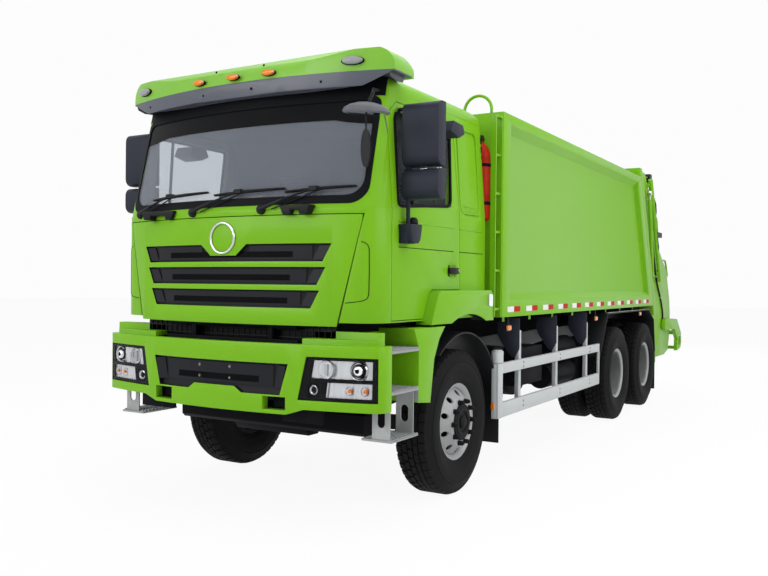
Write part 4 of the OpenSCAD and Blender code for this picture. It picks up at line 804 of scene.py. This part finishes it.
w = Build()
for (px, pz), (jx, jz), (ax, az), (bx, bz) in (     # pivot, joint and the blade's two ends
        ((-0.930, 2.142), (-0.560, 2.262), (-0.780, 2.246), (-0.160, 2.272)),
        ((-0.290, 2.128), (0.130, 2.262), (-0.100, 2.246), (0.500, 2.272)),
        ((0.330, 2.128), (0.720, 2.262), (0.500, 2.246), (1.000, 2.276))):
    w.spin([(0.034, -0.030), (0.034, 0.010), (0.028, 0.020), (0.014, 0.026), (TIP, 0.028)],
           place(cab_at(px, pz, 0.004), (0, -1, 0.1)), PLAST, 20)
    knee = cab_at(px + (jx - px) * 0.45, pz + (jz - pz) * 0.45, 0.042)
    w.tube([cab_at(px, pz, 0.024), cab_at(px + 0.05, pz + 0.016, 0.034), knee], [0.015, 0.014, 0.010], PLAST, 10)
    w.tube([knee, cab_at(jx, jz, 0.030)], [0.0075, 0.006], PLAST, 8)
    w.tube([cab_at(px + 0.09, pz - 0.002, 0.018), cab_at(jx + 0.05, jz - 0.006, 0.026)], 0.0045, PLAST, 8)
    line = [(ax + (bx - ax) * t / 14, az + (bz - az) * t / 14, math.sin(math.pi * t / 14)) for t in range(15)]
    w.tube([cab_at(x, z, 0.016 + 0.010 * h) for x, z, h in line], [0.0045 + 0.0055 * h for x, z, h in line], PLAST, 8)
    w.tube([cab_at(x, z - 0.006, 0.004) for x, z, h in line], 0.0045, RUBBER, 6)
    w.box(cab_at(jx - 0.03, jz - 0.014, 0.040), cab_at(jx + 0.03, jz + 0.014, 0.008), PLAST)
w.made("wipers", "cab", slot="dark_plastic")

h = Build()
for xa, xb in ((-0.800, -0.475), (0.490, 0.735)):
    half = [(0, 2.142), (0.02, 2.098), (0.028, 2.088), (0.085, 2.088), (0.092, 2.118)]
    pts = [(xa + d, z) for d, z in half] + [(xb - d, z) for d, z in half[::-1]]
    pts += [(xb - 0.006, 2.150), (xa + 0.006, 2.150)]
    ends = cab_y(xa, 2.1), cab_y(xb, 2.1)
    h.prism(pts, "y", min(ends) - 0.030, max(ends) + 0.010, PLAST)
h.made("hand_grips", "cab", 0.006, 3, slot="dark_plastic")


def visor_y(x):
    return VISF + (3.7 - math.sqrt(3.7 ** 2 - x * x))


def oval(b, x, z, a, tall, out, lens):
    """Oval marker lamp standing out from the visor."""
    centre, n = Vector((x, visor_y(x), z)), Vector((x / 3.7, -1, 0)).normalized()
    side = Vector((-n.y, n.x, 0))

    def ring(r, d):
        return [centre + side * (a * r * c) + Vector((0, 0, tall * r * q)) + n * d for c, q in ellipse(24)]
    b.loft([ring(1.12, 0.0), ring(1.10, 0.012), ring(1.0, 0.016)], GLOSSB)
    b.loft([ring(1.0, 0.015), ring(0.9, 0.7 * out + 0.01), ring(0.6, out + 0.004), ring(0.25, out + 0.006)], lens,
           last=True)


v = Build()
for x in (-0.330, 0.0, 0.305):
    oval(v, x, 3.082, 0.052, 0.020, 0.030, AMBER)
for x in (-1.010, 0.925):
    oval(v, x, 3.112, 0.074, 0.026, 0.034, SMOKEL)
for x in (-0.95, -0.30, 0.15, 0.70):
    bolt(v, (x, visor_y(x), 2.990), (0, -1, 0.1), 0.007, 0.004, GLOSSB, 8)
for x in (-0.76, -0.18, 0.25, 0.77):
    bolt(v, (x, visor_y(x) + 0.012, 3.146), (0, -1, 0.3), 0.006, 0.004, GLOSSB, 8)
v.made("visor_lamps", "cab", slot="lamp_lens")

# corner mirror on its arm, with the small hanging mirror
m = Build()
m.tube([(1.045, cab_y(1.04, 2.93) + 0.02, 2.930), FA(1.10, -1.24, 2.900), FA(1.15, -1.33, 2.850),
        FA(1.14, -1.36, 2.790)], 0.012, PLAST, 10)
mc = Vector(FA(1.115, -1.355, 2.745))
shell = ((0.02, 0.052), (0.35, 0.046), (0.70, 0.030), (0.92, 0.010), (1.0, -0.014), (0.96, -0.024), (0.80, -0.026))
loops = [[mc + Vector((0.175 * r * c, 0.085 * r * q, dz - 0.12 * 0.175 * r * c)) for c, q in ellipse(20)]
         for r, dz in shell]
m.loft(loops, CAP, first=True)
m.add(loops[-1], [tuple(range(20))], MIRROR)
m.tube([mc + Vector((0, d, -z)) for d, z in ((0, 0.02), (0.004, 0.09), (0.006, 0.14))], 0.006, PLAST, 8)
m.loft([[mc + Vector((0.036 * r * c, 0.006 + d, -0.245 + 0.125 * r * q)) for c, q in ellipse(20)]
        for r, d in ((1.0, -0.010), (1.0, 0.006), (0.8, 0.014), (0.3, 0.018))], PLAST, True, True, flip=True)
m.made("corner_mirror", "cab", slot="mirror_shell")

# ---------------------------------------------------------------- behind the bumper: radiator and cross members
r = Build()
YR = BUMF + 0.235
r.box((-0.86, YR, 1.02), (0.86, YR + 0.03, 1.375), GLOSSB)
for i in range(34):
    x = -0.83 + i * 0.05
    r.box((x, YR - 0.006, 1.20), (x + 0.006, YR, 1.37), PLAST)
for z in (1.205, 1.255, 1.305, 1.355):
    r.box((-0.84, YR - 0.010, z), (0.84, YR - 0.002, z + 0.008), PLAST)
r.box((-0.60, YR - 0.075, 1.175), (0.60, YR - 0.035, 1.245), BLACKF)
r.tube([(-0.58, YR - 0.05, 1.335), (0.58, YR - 0.05, 1.335)], 0.022, BLACKF, 12)
for x in (-0.34, 0.36):
    r.box((x - 0.02, YR - 0.07, 1.18), (x + 0.02, YR - 0.03, 1.37), BLACKF)
for x in (-0.66, 0.66):
    r.box((x - 0.16, BUMF + 0.13, 0.70), (x + 0.16, BUMF + 0.16, 0.90), BLACKF)
# low cross member ahead of the axle
for half, pts in ((0.86, ((0.93, 0.575), (0.90, 0.548), (0.66, 0.548), (0.63, 0.580), (0.63, 0.700), (0.93, 0.700))),
                  (0.34, ((0.86, 0.500), (0.74, 0.500), (0.70, 0.550), (0.90, 0.550)))):
    r.prism([(AX - y, z) for y, z in pts], "x", -half, half, BLACKF)
r.made("radiator_and_stays", "chassis", 0.002, slot="frame_paint")

# ---------------------------------------------------------------- cab sides: handles, window rubbers, creases
# the upper crease is a green bead; the lower one is a thin dark green line of painted shade in the fold
CREASES = ((2.058, GREEN, 0.006), (1.880, SEAM_SHADE, 0.0035))
for s, side in SIDES:
    d = Build()
    HX, HY, HZ = s * CABW, AX - 0.165, 1.735         # centre of the handle's dish
    d.spin([(TIP, -0.006), (0.038, -0.004), (0.050, 0.001), (0.054, 0.003), (0.056, 0.0)],
           place((HX, HY, HZ), (s, 0, 0)), GREEN, 32)
    rows = []
    for i in range(13):
        t = i / 12
        out = 0.020 + 0.014 * math.sin(math.pi * min(1, t * 1.15))
        flank = out * 0.8
        section = ((0.002, -0.024), (flank, -0.026), (out, -0.014), (out, 0.012), (flank, 0.022), (0.002, 0.020))
        rows.append([(HX + s * o, HY - 0.078 + 0.162 * t, HZ + z) for o, z in section])
    d.loft(rows, PLAST, first=True, last=True, flip=True)
    d.spin([(TIP, 0.012), (0.007, 0.012), (0.010, 0.008), (0.010, 0.0)],
           place((HX + s * 0.02, HY + 0.062, HZ), (s, 0, 0)), STEEL, 16)
    for z, material, radius in CREASES:
        d.tube([(s * (cab_x(z) - 0.001), AX - 1.000 + 0.095 * k, z) for k in range(10)], radius, material, 8)
    # window rubber and division bar
    lo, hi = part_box(side + "_door_window")
    ring = [(lo.y + y, lo.z + z) for y, z in ((0.006, 0.040), (0.020, 0.016), (0.060, 0.010), (0.40, 0.040))]
    ring += [(hi.y - y, lo.z + z) for y, z in ((0.100, 0.068), (0.060, 0.082), (0.043, 0.120))]
    ring += [(hi.y - y, hi.z - z) for y, z in ((0.008, 0.060), (0.012, 0.022), (0.045, 0.008))]
    ring += [(lo.y + y, hi.z - z) for y, z in ((0.070, 0.008), (0.030, 0.020), (0.014, 0.060))]
    d.tube([(s * (cab_x(z) - 0.004), y, z) for y, z in ring], 0.012, SEAL_AND_SHADE, 8, closed=True)
    bar, heights = lo.y + 0.25 * (hi.y - lo.y), (lo.z + 0.030, (lo.z + hi.z) / 2, hi.z - 0.010)
    d.tube([(s * (cab_x(z) - 0.006), bar, z) for z in heights], 0.012, SEAL_AND_SHADE, 8)
    d.made(side + "_door_trim", side + "_door", slot="dark_plastic")

k = Build()
for s in (1, -1):
    # creases carried on over the corner panel behind the door
    for z, material, radius in CREASES:
        k.tube([(s * (cab_x(z) - 0.001), AX - 0.045 + 0.09 * i, z) for i in range(6)], radius, material, 8)
    # raised outline of the blanked rear quarter window and its grab recess
    ring = rounded(AX - 0.015, 2.190, AX + 0.335, 2.850, 0.06, 6)
    k.tube([(s * (cab_x(z) - 0.001), y, z) for y, z in ring], 0.008, GREEN, 8, closed=True)
    recess = [(AX + 0.03 + 0.04 * i, 2.245 - 0.004 * math.sin(math.pi * i / 6)) for i in range(7)]
    k.tube([(s * (cab_x(2.24) - 0.001), y, z) for y, z in recess], 0.005, GREEN, 8)
    # side vent at the back edge
    for i in range(9):
        z = 2.19 + 0.075 * i
        k.box((s * 1.118 - 0.008, CAB_BACK - 0.006, z), (s * 1.118 + 0.008, CAB_BACK + 0.004, z + 0.05), PLAST)
    # white side marker on the arch
    k.prism(rounded(AX + 0.355, 1.455, AX + 0.430, 1.555, 0.018, 4), "x", s * 1.243, s * 1.250, WHITEL)
k.made("cab_side_trim", "cab", slot="green_paint")

# ---------------------------------------------------------------- between cab and container
WALL = AX + 0.622                       # front face of the container's front wall
e = Build()
EX, EY = 1.055, AX + 0.600
P = upright(EX, EY)
e.spin([(TIP, 2.16), (0.060, 2.165), (0.078, 2.185), (0.082, 2.22), (0.082, 2.70), (0.078, 2.74), (0.060, 2.79),
        (0.030, 2.82), (0.024, 2.83), (0.024, 2.85), (TIP, 2.85)], P, RED, 32)
e.spin([(0.026, 2.84), (0.028, 2.86), (0.020, 2.89), (TIP, 2.892)], P, PLAST, 20)
hose = ((0, 0, 2.868), (0.05, 0.02, 2.87), (0.085, 0.04, 2.80), (0.09, 0.045, 2.55), (0.085, 0.045, 2.40))
e.tube([(EX - x, EY + y, z) for x, y, z in hose], 0.011, RUBBER, 10)
for z in (2.30, 2.62):
    e.spin([(0.0825, z), (0.0855, z + 0.002), (0.0855, z + 0.026), (0.0825, z + 0.028)], P, BLACKF, 32)
    e.box((EX - 0.03, EY + 0.08, z), (EX + 0.03, WALL + 0.100, z + 0.028), BLACKF)
e.made("extinguisher", "chassis", slot="green_paint")

f = Build()
LX, LY0, LY1 = 1.222, AX + 0.482, AX + 0.612         # the ladder's plane and its two uprights
BODY_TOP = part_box("ladder")[1].z - 0.168
for y in (LY0, LY1):
    f.box((LX - 0.022, y - 0.008, 1.365), (LX + 0.022, y + 0.008, BODY_TOP - 0.060), GREEN)
f.box((LX - 0.022, LY0 - 0.008, BODY_TOP - 0.060), (LX + 0.022, WALL, BODY_TOP - 0.045), GREEN)
f.box((LX - 0.022, LY1, 1.480), (LX + 0.010, WALL, 1.520), GREEN)
for i in range(6):
    z = 1.428 + 0.320 * i
    f.tube([(LX, LY0, z), (LX, LY1, z)], 0.012, GREEN, 8)
HX, HY, HR = 1.010, AX + 0.630, 0.125                # the hoop's middle and radius
bow = [(HX + HR * math.cos(w), HY, BODY_TOP + 0.030 + HR * math.sin(w)) for w in np.linspace(0, math.pi, 17)]
f.tube([(HX + HR, HY, BODY_TOP)] + bow + [(HX - HR, HY, BODY_TOP)], 0.013, GREEN, 10)
f.made("ladder_and_hoop", "chassis", slot="green_paint", replaces="ladder")

a = Build()
IX, IY = -0.93, AX + 0.570
a.tube([(IX, IY, z) for z in (1.20, 1.60, 2.45, 2.62)], 0.085, PLAST, 24)
a.prism(rounded(IX - 0.14, 2.62, IX + 0.14, 2.95, 0.04, 4), "y", IY - 0.085, IY + 0.085, PLAST)
for i in range(10):
    z = 1.30 + i * 0.026
    a.spin([(0.085, z), (0.094, z + 0.006), (0.094, z + 0.014), (0.085, z + 0.020)], upright(IX, IY), RUBBER, 24)
    z = 2.66 + i * 0.026
    a.box((IX - 0.11, IY - 0.090, z), (IX + 0.11, IY - 0.084, z + 0.012), GLOSSB)
a.made("air_intake", "chassis", 0.004, slot="dark_plastic")

# ---------------------------------------------------------------- container's side: tape, markers, guard
t = Build()
TAPE_RUN = 4.860                        # from the first pair of tapes to the last
for s in (1, -1):
    for i in range(12):
        y = AX + 0.745 + i * TAPE_RUN / 11
        for y0, y1, material in ((y, y + 0.145, WHITETAPE), (y + 0.147, y + 0.292, REDTAPE)):
            t.prism([(y0, 1.398), (y1, 1.398), (y1, 1.446), (y0, 1.446)], "x", s * 1.2485, s * 1.2517, material)
t.made("marker_tape", "chassis", slot="lamp_lens")


def span(s, x0, x1):
    return sorted((s * x0, s * x1))


q = Build()
guard0, guard1 = AX + 0.585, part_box("side_guards")[1].y
POSTS = (AX + 1.165, AX + 2.175, AX + 3.185)
CORNER = ((1.180, -0.004), (1.205, -0.004), (1.226, 0.002), (1.238, 0.014), (1.243, 0.034), (1.243, 0.090),
          (1.236, 0.090), (1.236, 0.036), (1.222, 0.010), (1.204, 0.004), (1.180, 0.004))
GUSSET = ((1.000, 1.335), (1.212, 1.335), (1.212, 1.060), (1.170, 0.985), (1.140, 0.985), (1.105, 1.020),
          (1.035, 1.120), (1.000, 1.190))
for s in (1, -1):
    z = 1.262
    for y in (AX + 0.80, AX + 3.40, AX + 5.45):
        q.prism(rounded(y - 0.045, z - 0.020, y + 0.045, z + 0.020, 0.012, 3), "x", s * 1.236, s * 1.249, AMBER)
        q.prism(rounded(y - 0.052, z - 0.027, y + 0.052, z + 0.027, 0.014, 3), "x", s * 1.226, s * 1.238, PLAST)
        q.box((s * 1.226 - 0.008, y - 0.02, z), (s * 1.226 + 0.008, y + 0.02, 1.345), BLACKF)
    # gusset shields at the posts of the side guard
    for y in POSTS:
        q.prism([(s * x, z) for x, z in GUSSET], "y", y - 0.036, y - 0.030, SHIELD)
        for z in (0.56, 0.60, 0.905, 0.945):
            bolt(q, (s * 1.2405, y, z), (s, 0, 0), 0.010, 0.006, STEEL)
    # pale top edge of the rear covers
    x0, x1 = span(s, 1.205, 1.243)
    q.box((x0, AX2 - 0.47, 1.310), (x1, AX3 + 0.20, 1.3135), GREY)
    # the guard's rounded front corner, the cap above it, the lamp on it and the closing upright at the rear end
    q.prism([(s * x, guard0 + y) for x, y in CORNER], "z", 0.510, 0.970, GREY)
    x0, x1 = span(s, 1.165, 1.238)
    q.prism(rounded(x0, guard0 - 0.002, x1, guard0 + 0.135, 0.030, 4), "z", 0.974, 1.070, GREY)
    q.prism(rounded(x0 + 0.008, guard0 + 0.006, x1 - 0.008, guard0 + 0.127, 0.026, 4), "z", 1.070, 1.080, GREY)
    x0, x1 = span(s, 1.182, 1.208)
    q.prism(rounded(x0, 0.585, x1, 0.645, 0.010, 3), "y", guard0 - 0.020, guard0 - 0.003, AMBER)
    x0, x1 = span(s, 1.216, 1.240)
    q.box((x0, guard1 - 0.030, 0.636), (x1, guard1 - 0.002, 0.881), GREY)
q.made("side_markers_and_shields", "chassis", 0.002, slot="lamp_lens")

# ---------------------------------------------------------------- side mirrors: tapered cups under the posts, glass
CUP = ((1.010, 2.034), (0.835, 2.038), (0.862, 1.930), (0.885, 1.908), (0.965, 1.902), (0.990, 1.922))
for s, side in SIDES:
    cup = Build()
    cup.prism([(AX - y, z) for y, z in CUP], "x", s * 1.160, s * 1.262, MIRR_SH)
    cup.spin([(0.022, 2.03), (0.034, 2.04), (0.030, 2.07), (0.018, 2.085)], upright(s * 1.215, AX - 0.885), PLAST, 20)
    cup.made(side + "_mirror_foot_cup", side + "_door", 0.010, 3, slot="mirror_shell")
for s, side in SIDES:
    face = Build()
    back = AX - 0.8845
    x0, x1 = span(s, 1.225, 1.435)
    for z0, z1 in ((2.47, 2.86), (2.22, 2.42)):
        face.prism(rounded(x0, z0, x1, z1, 0.03, 5), "y", back - 0.002, back + 0.002, MIRROR)
    face.made(side + "_mirror_glass", side + "_door", slot="mirror_shell")

# ---------------------------------------------------------------- teeth on the step treads
t = Build()
y0, y1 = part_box("cab_steps")[0].y + 0.02, AX - 0.840
TOOTH = [(0.013, -0.001), (0.0115, 0.005), (0.0085, 0.006), (0.0075, 0.001), (TIP, 0.001)]
for s in (1, -1):
    for x0, z in ((1.015, 0.605), (0.965, 0.925), (0.965, 1.195)):
        for i in range(7):
            for j in range(9):
                x, y = x0 + (1.235 - x0) * (i + 0.5) / 7, y0 + (y1 - y0) * (j + 0.5) / 9
                t.spin(TOOTH, upright(s * x, y, z), TREADM, 8)
        for i in range(12):
            y = y0 + (y1 - y0) * (i + 0.5) / 12
            t.box((s * 1.2365 - 0.0035, y - 0.013, z - 0.004), (s * 1.2365 + 0.0035, y + 0.013, z + 0.006), TREADM)
t.made("step_tread_teeth", "chassis", slot="bare_steel")


# ---------------------------------------------------------------- tail: camera, hoses, handles, lamps, tape
def run(x, *points):
    """Path at one width, whose y is counted from the front axle."""
    return [FA(x, y, z) for y, z in points]


T = Build()
for s in (1, -1):
    X, H = s * 1.135, s * 1.183
    T.tube(run(X, (5.88, 3.140), (6.05, 3.165), (6.22, 3.165)), 0.014, GREEN, 10)
    T.tube(run(X, (6.04, 3.10), (6.16, 3.02), (6.20, 2.92), (6.19, 2.80)), 0.009, STEEL, 8)
    T.prism(rounded(AX + 6.19, 3.085, AX + 6.315, 3.215, 0.018, 4), "x", X - 0.045, X + 0.045, PLAST)
    T.spin([(0.030, 0.0), (0.030, 0.016), (0.022, 0.019), (TIP, 0.016)], place(FA(X, 6.312, 3.15), (0, 1, 0)),
           GLOSSB, 20)
    for x, d in ((X - 0.022, 0.0), (X + 0.022, 0.03)):
        T.tube(run(x, (6.18, 2.90 + d), (6.33, 2.925 + d), (6.50, 2.90 + d), (6.63 + d, 2.82), (6.66 + d, 2.72),
                   (6.62 + d, 2.63), (6.55, 2.575 - d), (6.44, 2.55 - d)), 0.015, RUBBER, 10)
        for y, z in ((6.20, 2.903 + d), (6.47, 2.556 - d)):
            T.spin([(0.021, -0.03), (0.021, 0.03), (0.015, 0.034)], place(FA(x, y, z), (0, 1, 0.05)), STEEL, 6)
    # upper handle and side lamp box
    T.tube(run(X, (6.52, 2.615), (6.70, 2.655), (6.80, 2.650), (6.86, 2.600), (6.90, 2.480), (6.91, 2.42)), 0.013,
           GREEN, 10)
    T.prism(rounded(AX + 6.585, 2.352, AX + 7.02, 2.425, 0.02, 4), "x", X - 0.04, X + 0.045, PLAST)
    T.box(FA(X - 0.032, 7.018, 2.362), FA(X + 0.036, 7.030, 2.414), REDLENS)
    T.tube([FA(X, 6.90, 2.36), FA(X + 0.01 * s, 6.94, 2.22), FA(X, 7.00, 2.10)], 0.012, PLAST, 10)
    T.tube(run(X, (6.99, 2.12), (7.02, 2.03)), 0.020, GREEN, 12)
    # lower handle
    T.tube(run(X, (7.12, 1.985), (7.33, 2.030), (7.46, 2.020), (7.53, 1.950), (7.62, 1.800), (7.59, 1.775),
               (7.44, 1.775)), 0.014, GREEN, 10)
    # pressure line down the wall to the lifter
    T.tube(run(H, (6.46, 2.05), (6.56, 1.86), (6.72, 1.66), (6.86, 1.53), (6.99, 1.40), (7.08, 1.28), (7.12, 1.18),
               (7.10, 1.12)), 0.0115, RUBBER, 8)
    for y, z in ((6.62, 1.775), (6.92, 1.47)):
        T.box(FA(H - 0.014, y - 0.012, z - 0.022), FA(H + 0.014, y + 0.012, z + 0.022), STEEL)
    # lamp bar on the wall's rear edge
    a0, a1 = Vector(FA(0, 7.430, 1.830)), Vector(FA(0, 7.622, 1.468))
    L = (a1 - a0).length
    along = (a1 - a0).normalized()
    up = Vector((0, -along.z, along.y))
    X0, X1 = span(s, 1.116, 1.164)

    def strip(t0, t1, h0, h1, material, inset=0.0):
        pts = [Vector((x, 0, 0)) + a0 + along * t + up * h for x in (X0 + inset, X1 - inset) for t in (t0, t1)
               for h in (h0, h1)]
        T.add(pts, [(0, 1, 3, 2), (4, 6, 7, 5), (0, 4, 5, 1), (2, 3, 7, 6), (0, 2, 6, 4), (1, 5, 7, 3)], material)
    strip(0, L, -0.002, 0.014, PLAST)
    for i, material in enumerate((REDLENS, REDLENS, AMBER, WHITEL)):
        strip(0.012 + i * L / 4, L / 4 - 0.012 + i * L / 4, 0.012, 0.030, material, 0.005)
    # high marker
    T.spin([(0.034, 0.0), (0.034, 0.008), (0.028, 0.014), (TIP, 0.022)],
           place(FA(s * 0.98, 6.03, 3.115), (0, 0.66, 0.75)), REDLENS, 20)
for i in range(14):
    x0, x1 = -1.046 + i * 0.15, -0.904 + i * 0.15
    T.prism([(x0, 1.145), (x1, 1.145), (x1, 1.195), (x0, 1.195)], "y", AX + 7.7345, AX + 7.7365,
            REDTAPE if i % 2 else WHITETAPE)
# stiffening ribs on the upper rear cover
for x in (-0.75, -0.25, 0.25, 0.75):
    T.tube(run(x, (6.005, 3.135), (6.25, 2.922), (6.46, 2.738)), 0.010, GREEN, 8)
T.made("tail_fittings", "tailgate", slot="green_paint")

R = Build()
for s in (1, -1):
    P = place(FA(s * 1.140, 8.250, 0.857), (s, 0, 0))
    R.spin([(TIP, 0.0), (0.019, 0.0), (0.021, 0.004), (0.021, 0.085), (0.019, 0.090), (TIP, 0.090)], P, GREY, 24)
    R.spin([(0.010, -0.02), (0.010, 0.0)], P, STEEL, 12)
R.made("lifter_rollers", "bin_lifter", slot="guard_grey")


# ---------------------------------------------------------------- seats
def pad(b, c, U, V, N, a, e, t, grooves, n=28):
    """Crowned closed cushion: half sizes a and e along U and V, half thickness t along N, with channels across V."""
    U, V, N, c = Vector(U).normalized(), Vector(V).normalized(), Vector(N).normalized(), Vector(c)

    def at(i, j, side):
        u, v = -1 + 2 * i / n, -1 + 2 * j / n
        h = ((1 - u ** 6) * (1 - v ** 6)) ** 0.42
        for groove in grooves:
            h *= 1 - 0.16 * math.exp(-((v - groove) / 0.035) ** 2)
        for groove in (-0.62, 0.62):
            h *= 1 - 0.14 * math.exp(-((u - groove) / 0.03) ** 2)
        pull_u, pull_v = 1 - 0.025 * (1 - v * v), 1 - 0.02 * (1 - u * u)
        return c + U * a * u * pull_u + V * e * v * pull_v + N * side * t * h * (1.0 if side > 0 else 0.7)
    cells = [(i, j) for j in range(n + 1) for i in range(n + 1)]
    verts = [at(i, j, 1) for i, j in cells]
    top = {ij: k for k, ij in enumerate(cells)}
    low = dict(top)
    for i, j in cells:
        if 0 < i < n and 0 < j < n:
            low[i, j] = len(verts)
            verts.append(at(i, j, -1))
    faces, flip = [], U.cross(V).dot(N) < 0
    for i, j in cells:
        if i < n and j < n:
            q = [(i, j), (i + 1, j), (i + 1, j + 1), (i, j + 1)]
            f1, f2 = tuple(top[k] for k in q), tuple(low[k] for k in q[::-1])
            faces += [f1[::-1], f2[::-1]] if flip else [f1, f2]
    b.add(verts, faces, CUSHION)


SEAT_X = 0.62
back = Vector((0, 0.130, 0.570)).normalized()
for s, side in SIDES:
    X = s * SEAT_X
    b = Build()
    pad(b, FA(X, -0.225, 1.812), (1, 0, 0), (0, 1, 0.02), (0, -0.02, 1), 0.245, 0.272, 0.070, (-0.45, 0.0, 0.45))
    pad(b, FA(X, 0.098, 2.130), (1, 0, 0), back, (0, -back.z, back.y), 0.240, 0.300, 0.058, (-0.5, -0.15, 0.2, 0.55))
    pad(b, FA(X, 0.180, 2.508), (1, 0, 0), (0, 0.2, 0.98), (0, -0.98, 0.2), 0.126, 0.082, 0.036, (0.0,), 18)
    o = b.made(side + "_seat_pads", "cab", slot="seat_cloth")
    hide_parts("seats")
b = Build()
for s in (1, -1):
    X = s * SEAT_X
    foot = [(AX - 0.42, 1.50), (AX - 0.02, 1.50), (AX - 0.05, 1.74), (AX - 0.39, 1.74)]
    b.prism(foot, "x", X - 0.185, X + 0.185, DASH)
    for i in range(4):
        z = 1.54 + 0.045 * i
        b.box(FA(X - 0.188, -0.425, z), FA(X + 0.188, -0.015, z + 0.012), RUBBER)
    for x in (X - 0.05, X + 0.05):
        b.tube(run(x, (0.150, 2.38), (0.172, 2.46)), 0.006, STEEL, 8)
b.made("seat_bases", "cab", 0.004, slot="dark_plastic", replaces="seats")


# ---------------------------------------------------------------- stage, light, camera
def seen_directly(nt):
    """Socket that is 1 for rays from the camera, from a reflection or through a clear surface."""
    lp = node(nt, "LightPath")
    seen = lp.outputs["Is Camera Ray"]
    for ray in ("Is Glossy Ray", "Is Transmission Ray"):
        either = node(nt, "Math", operation="MAXIMUM")
        nt.links.new(seen, either.inputs[0])
        nt.links.new(lp.outputs[ray], either.inputs[1])
        seen = either.outputs[0]
    return seen


def show(nt, share, lit, seen, output):
    """Sends the lit shader to the output, mixed with the seen one by a share."""
    mix = node(nt, "MixShader")
    for a, b in ((share, mix.inputs[0]), (lit.outputs[0], mix.inputs[1]), (seen.outputs[0], mix.inputs[2]),
                 (mix.outputs[0], nt.nodes[output].inputs["Surface"])):
        nt.links.new(a, b)


FLOOR = 60
me = bpy.data.meshes.new("floor")
me.from_pydata([(-FLOOR, -FLOOR, 0), (FLOOR, -FLOOR, 0), (FLOOR, FLOOR, 0), (-FLOOR, FLOOR, 0)], [], [(0, 1, 2, 3)])
floor = bpy.data.objects.new("floor", me)
scene.collection.objects.link(floor)
m, nt, p = fresh("floor_white")
p.inputs["Base Color"].default_value = (0.86, 0.86, 0.86, 1)
p.inputs["Roughness"].default_value = 0.8
most = node(nt, "Math", {1: 0.93}, operation="MULTIPLY")
nt.links.new(seen_directly(nt), most.inputs[0])
show(nt, most.outputs[0], p, node(nt, "Emission", {"Strength": 1.0}), "Material Output")
me.materials.append(m)

world = bpy.data.worlds.new("studio")
scene.world = world
world.use_nodes = True
nt = world.node_tree
sky = nt.nodes["Background"]
sky.inputs["Color"].default_value = (0.80, 0.81, 0.83, 1)
sky.inputs["Strength"].default_value = 0.55
show(nt, seen_directly(nt), sky, node(nt, "Background", {"Color": (0.98, 0.98, 0.98, 1)}), "World Output")


def area(name, at, to, size, power):
    light = bpy.data.lights.new(name, "AREA")
    light.shape = "RECTANGLE"
    light.size, light.size_y = size
    light.energy = power
    o = bpy.data.objects.new(name, light)
    scene.collection.objects.link(o)
    o.location = at
    o.rotation_euler = (Vector(to) - Vector(at)).to_track_quat("-Z", "Y").to_euler()


area("top_light", (1.5, -2.0, 9.5), (0, -0.5, 0), (9, 13), 700)
area("front_light", (-3.5, -13.0, 5.0), (0, -4.5, 1.6), (7, 4), 430)
area("side_light", (11.0, -2.5, 5.5), (0.5, 0.0, 1.5), (10, 4), 440)
area("rear_light", (-3.0, 13.0, 5.5), (0, 4.0, 1.5), (7, 4), 330)

cam = bpy.data.cameras.new("camera")
cam.sensor_width = 36
cam.lens = 39.17
cam.shift_x, cam.shift_y = 0.0064, 0.0007
cam.clip_end = 300
co = bpy.data.objects.new("camera", cam)
scene.collection.objects.link(co)
yaw, pitch, roll = RAD(30.663), RAD(-0.372), RAD(0.5536)
fwd = Vector((-math.sin(yaw) * math.cos(pitch), math.cos(yaw) * math.cos(pitch), math.sin(pitch)))
right = Vector((math.cos(yaw), math.sin(yaw), 0))
upv = right.cross(fwd)
cam_x = right * math.cos(roll) + upv * math.sin(roll)
cam_y = upv * math.cos(roll) - right * math.sin(roll)
turn = Matrix((cam_x, cam_y, -fwd)).transposed().to_4x4()
co.matrix_world = Matrix.Translation((3.9285, AX - 5.9142, 1.6350)) @ turn
scene.camera = co
scene.view_settings.view_transform = "Standard"
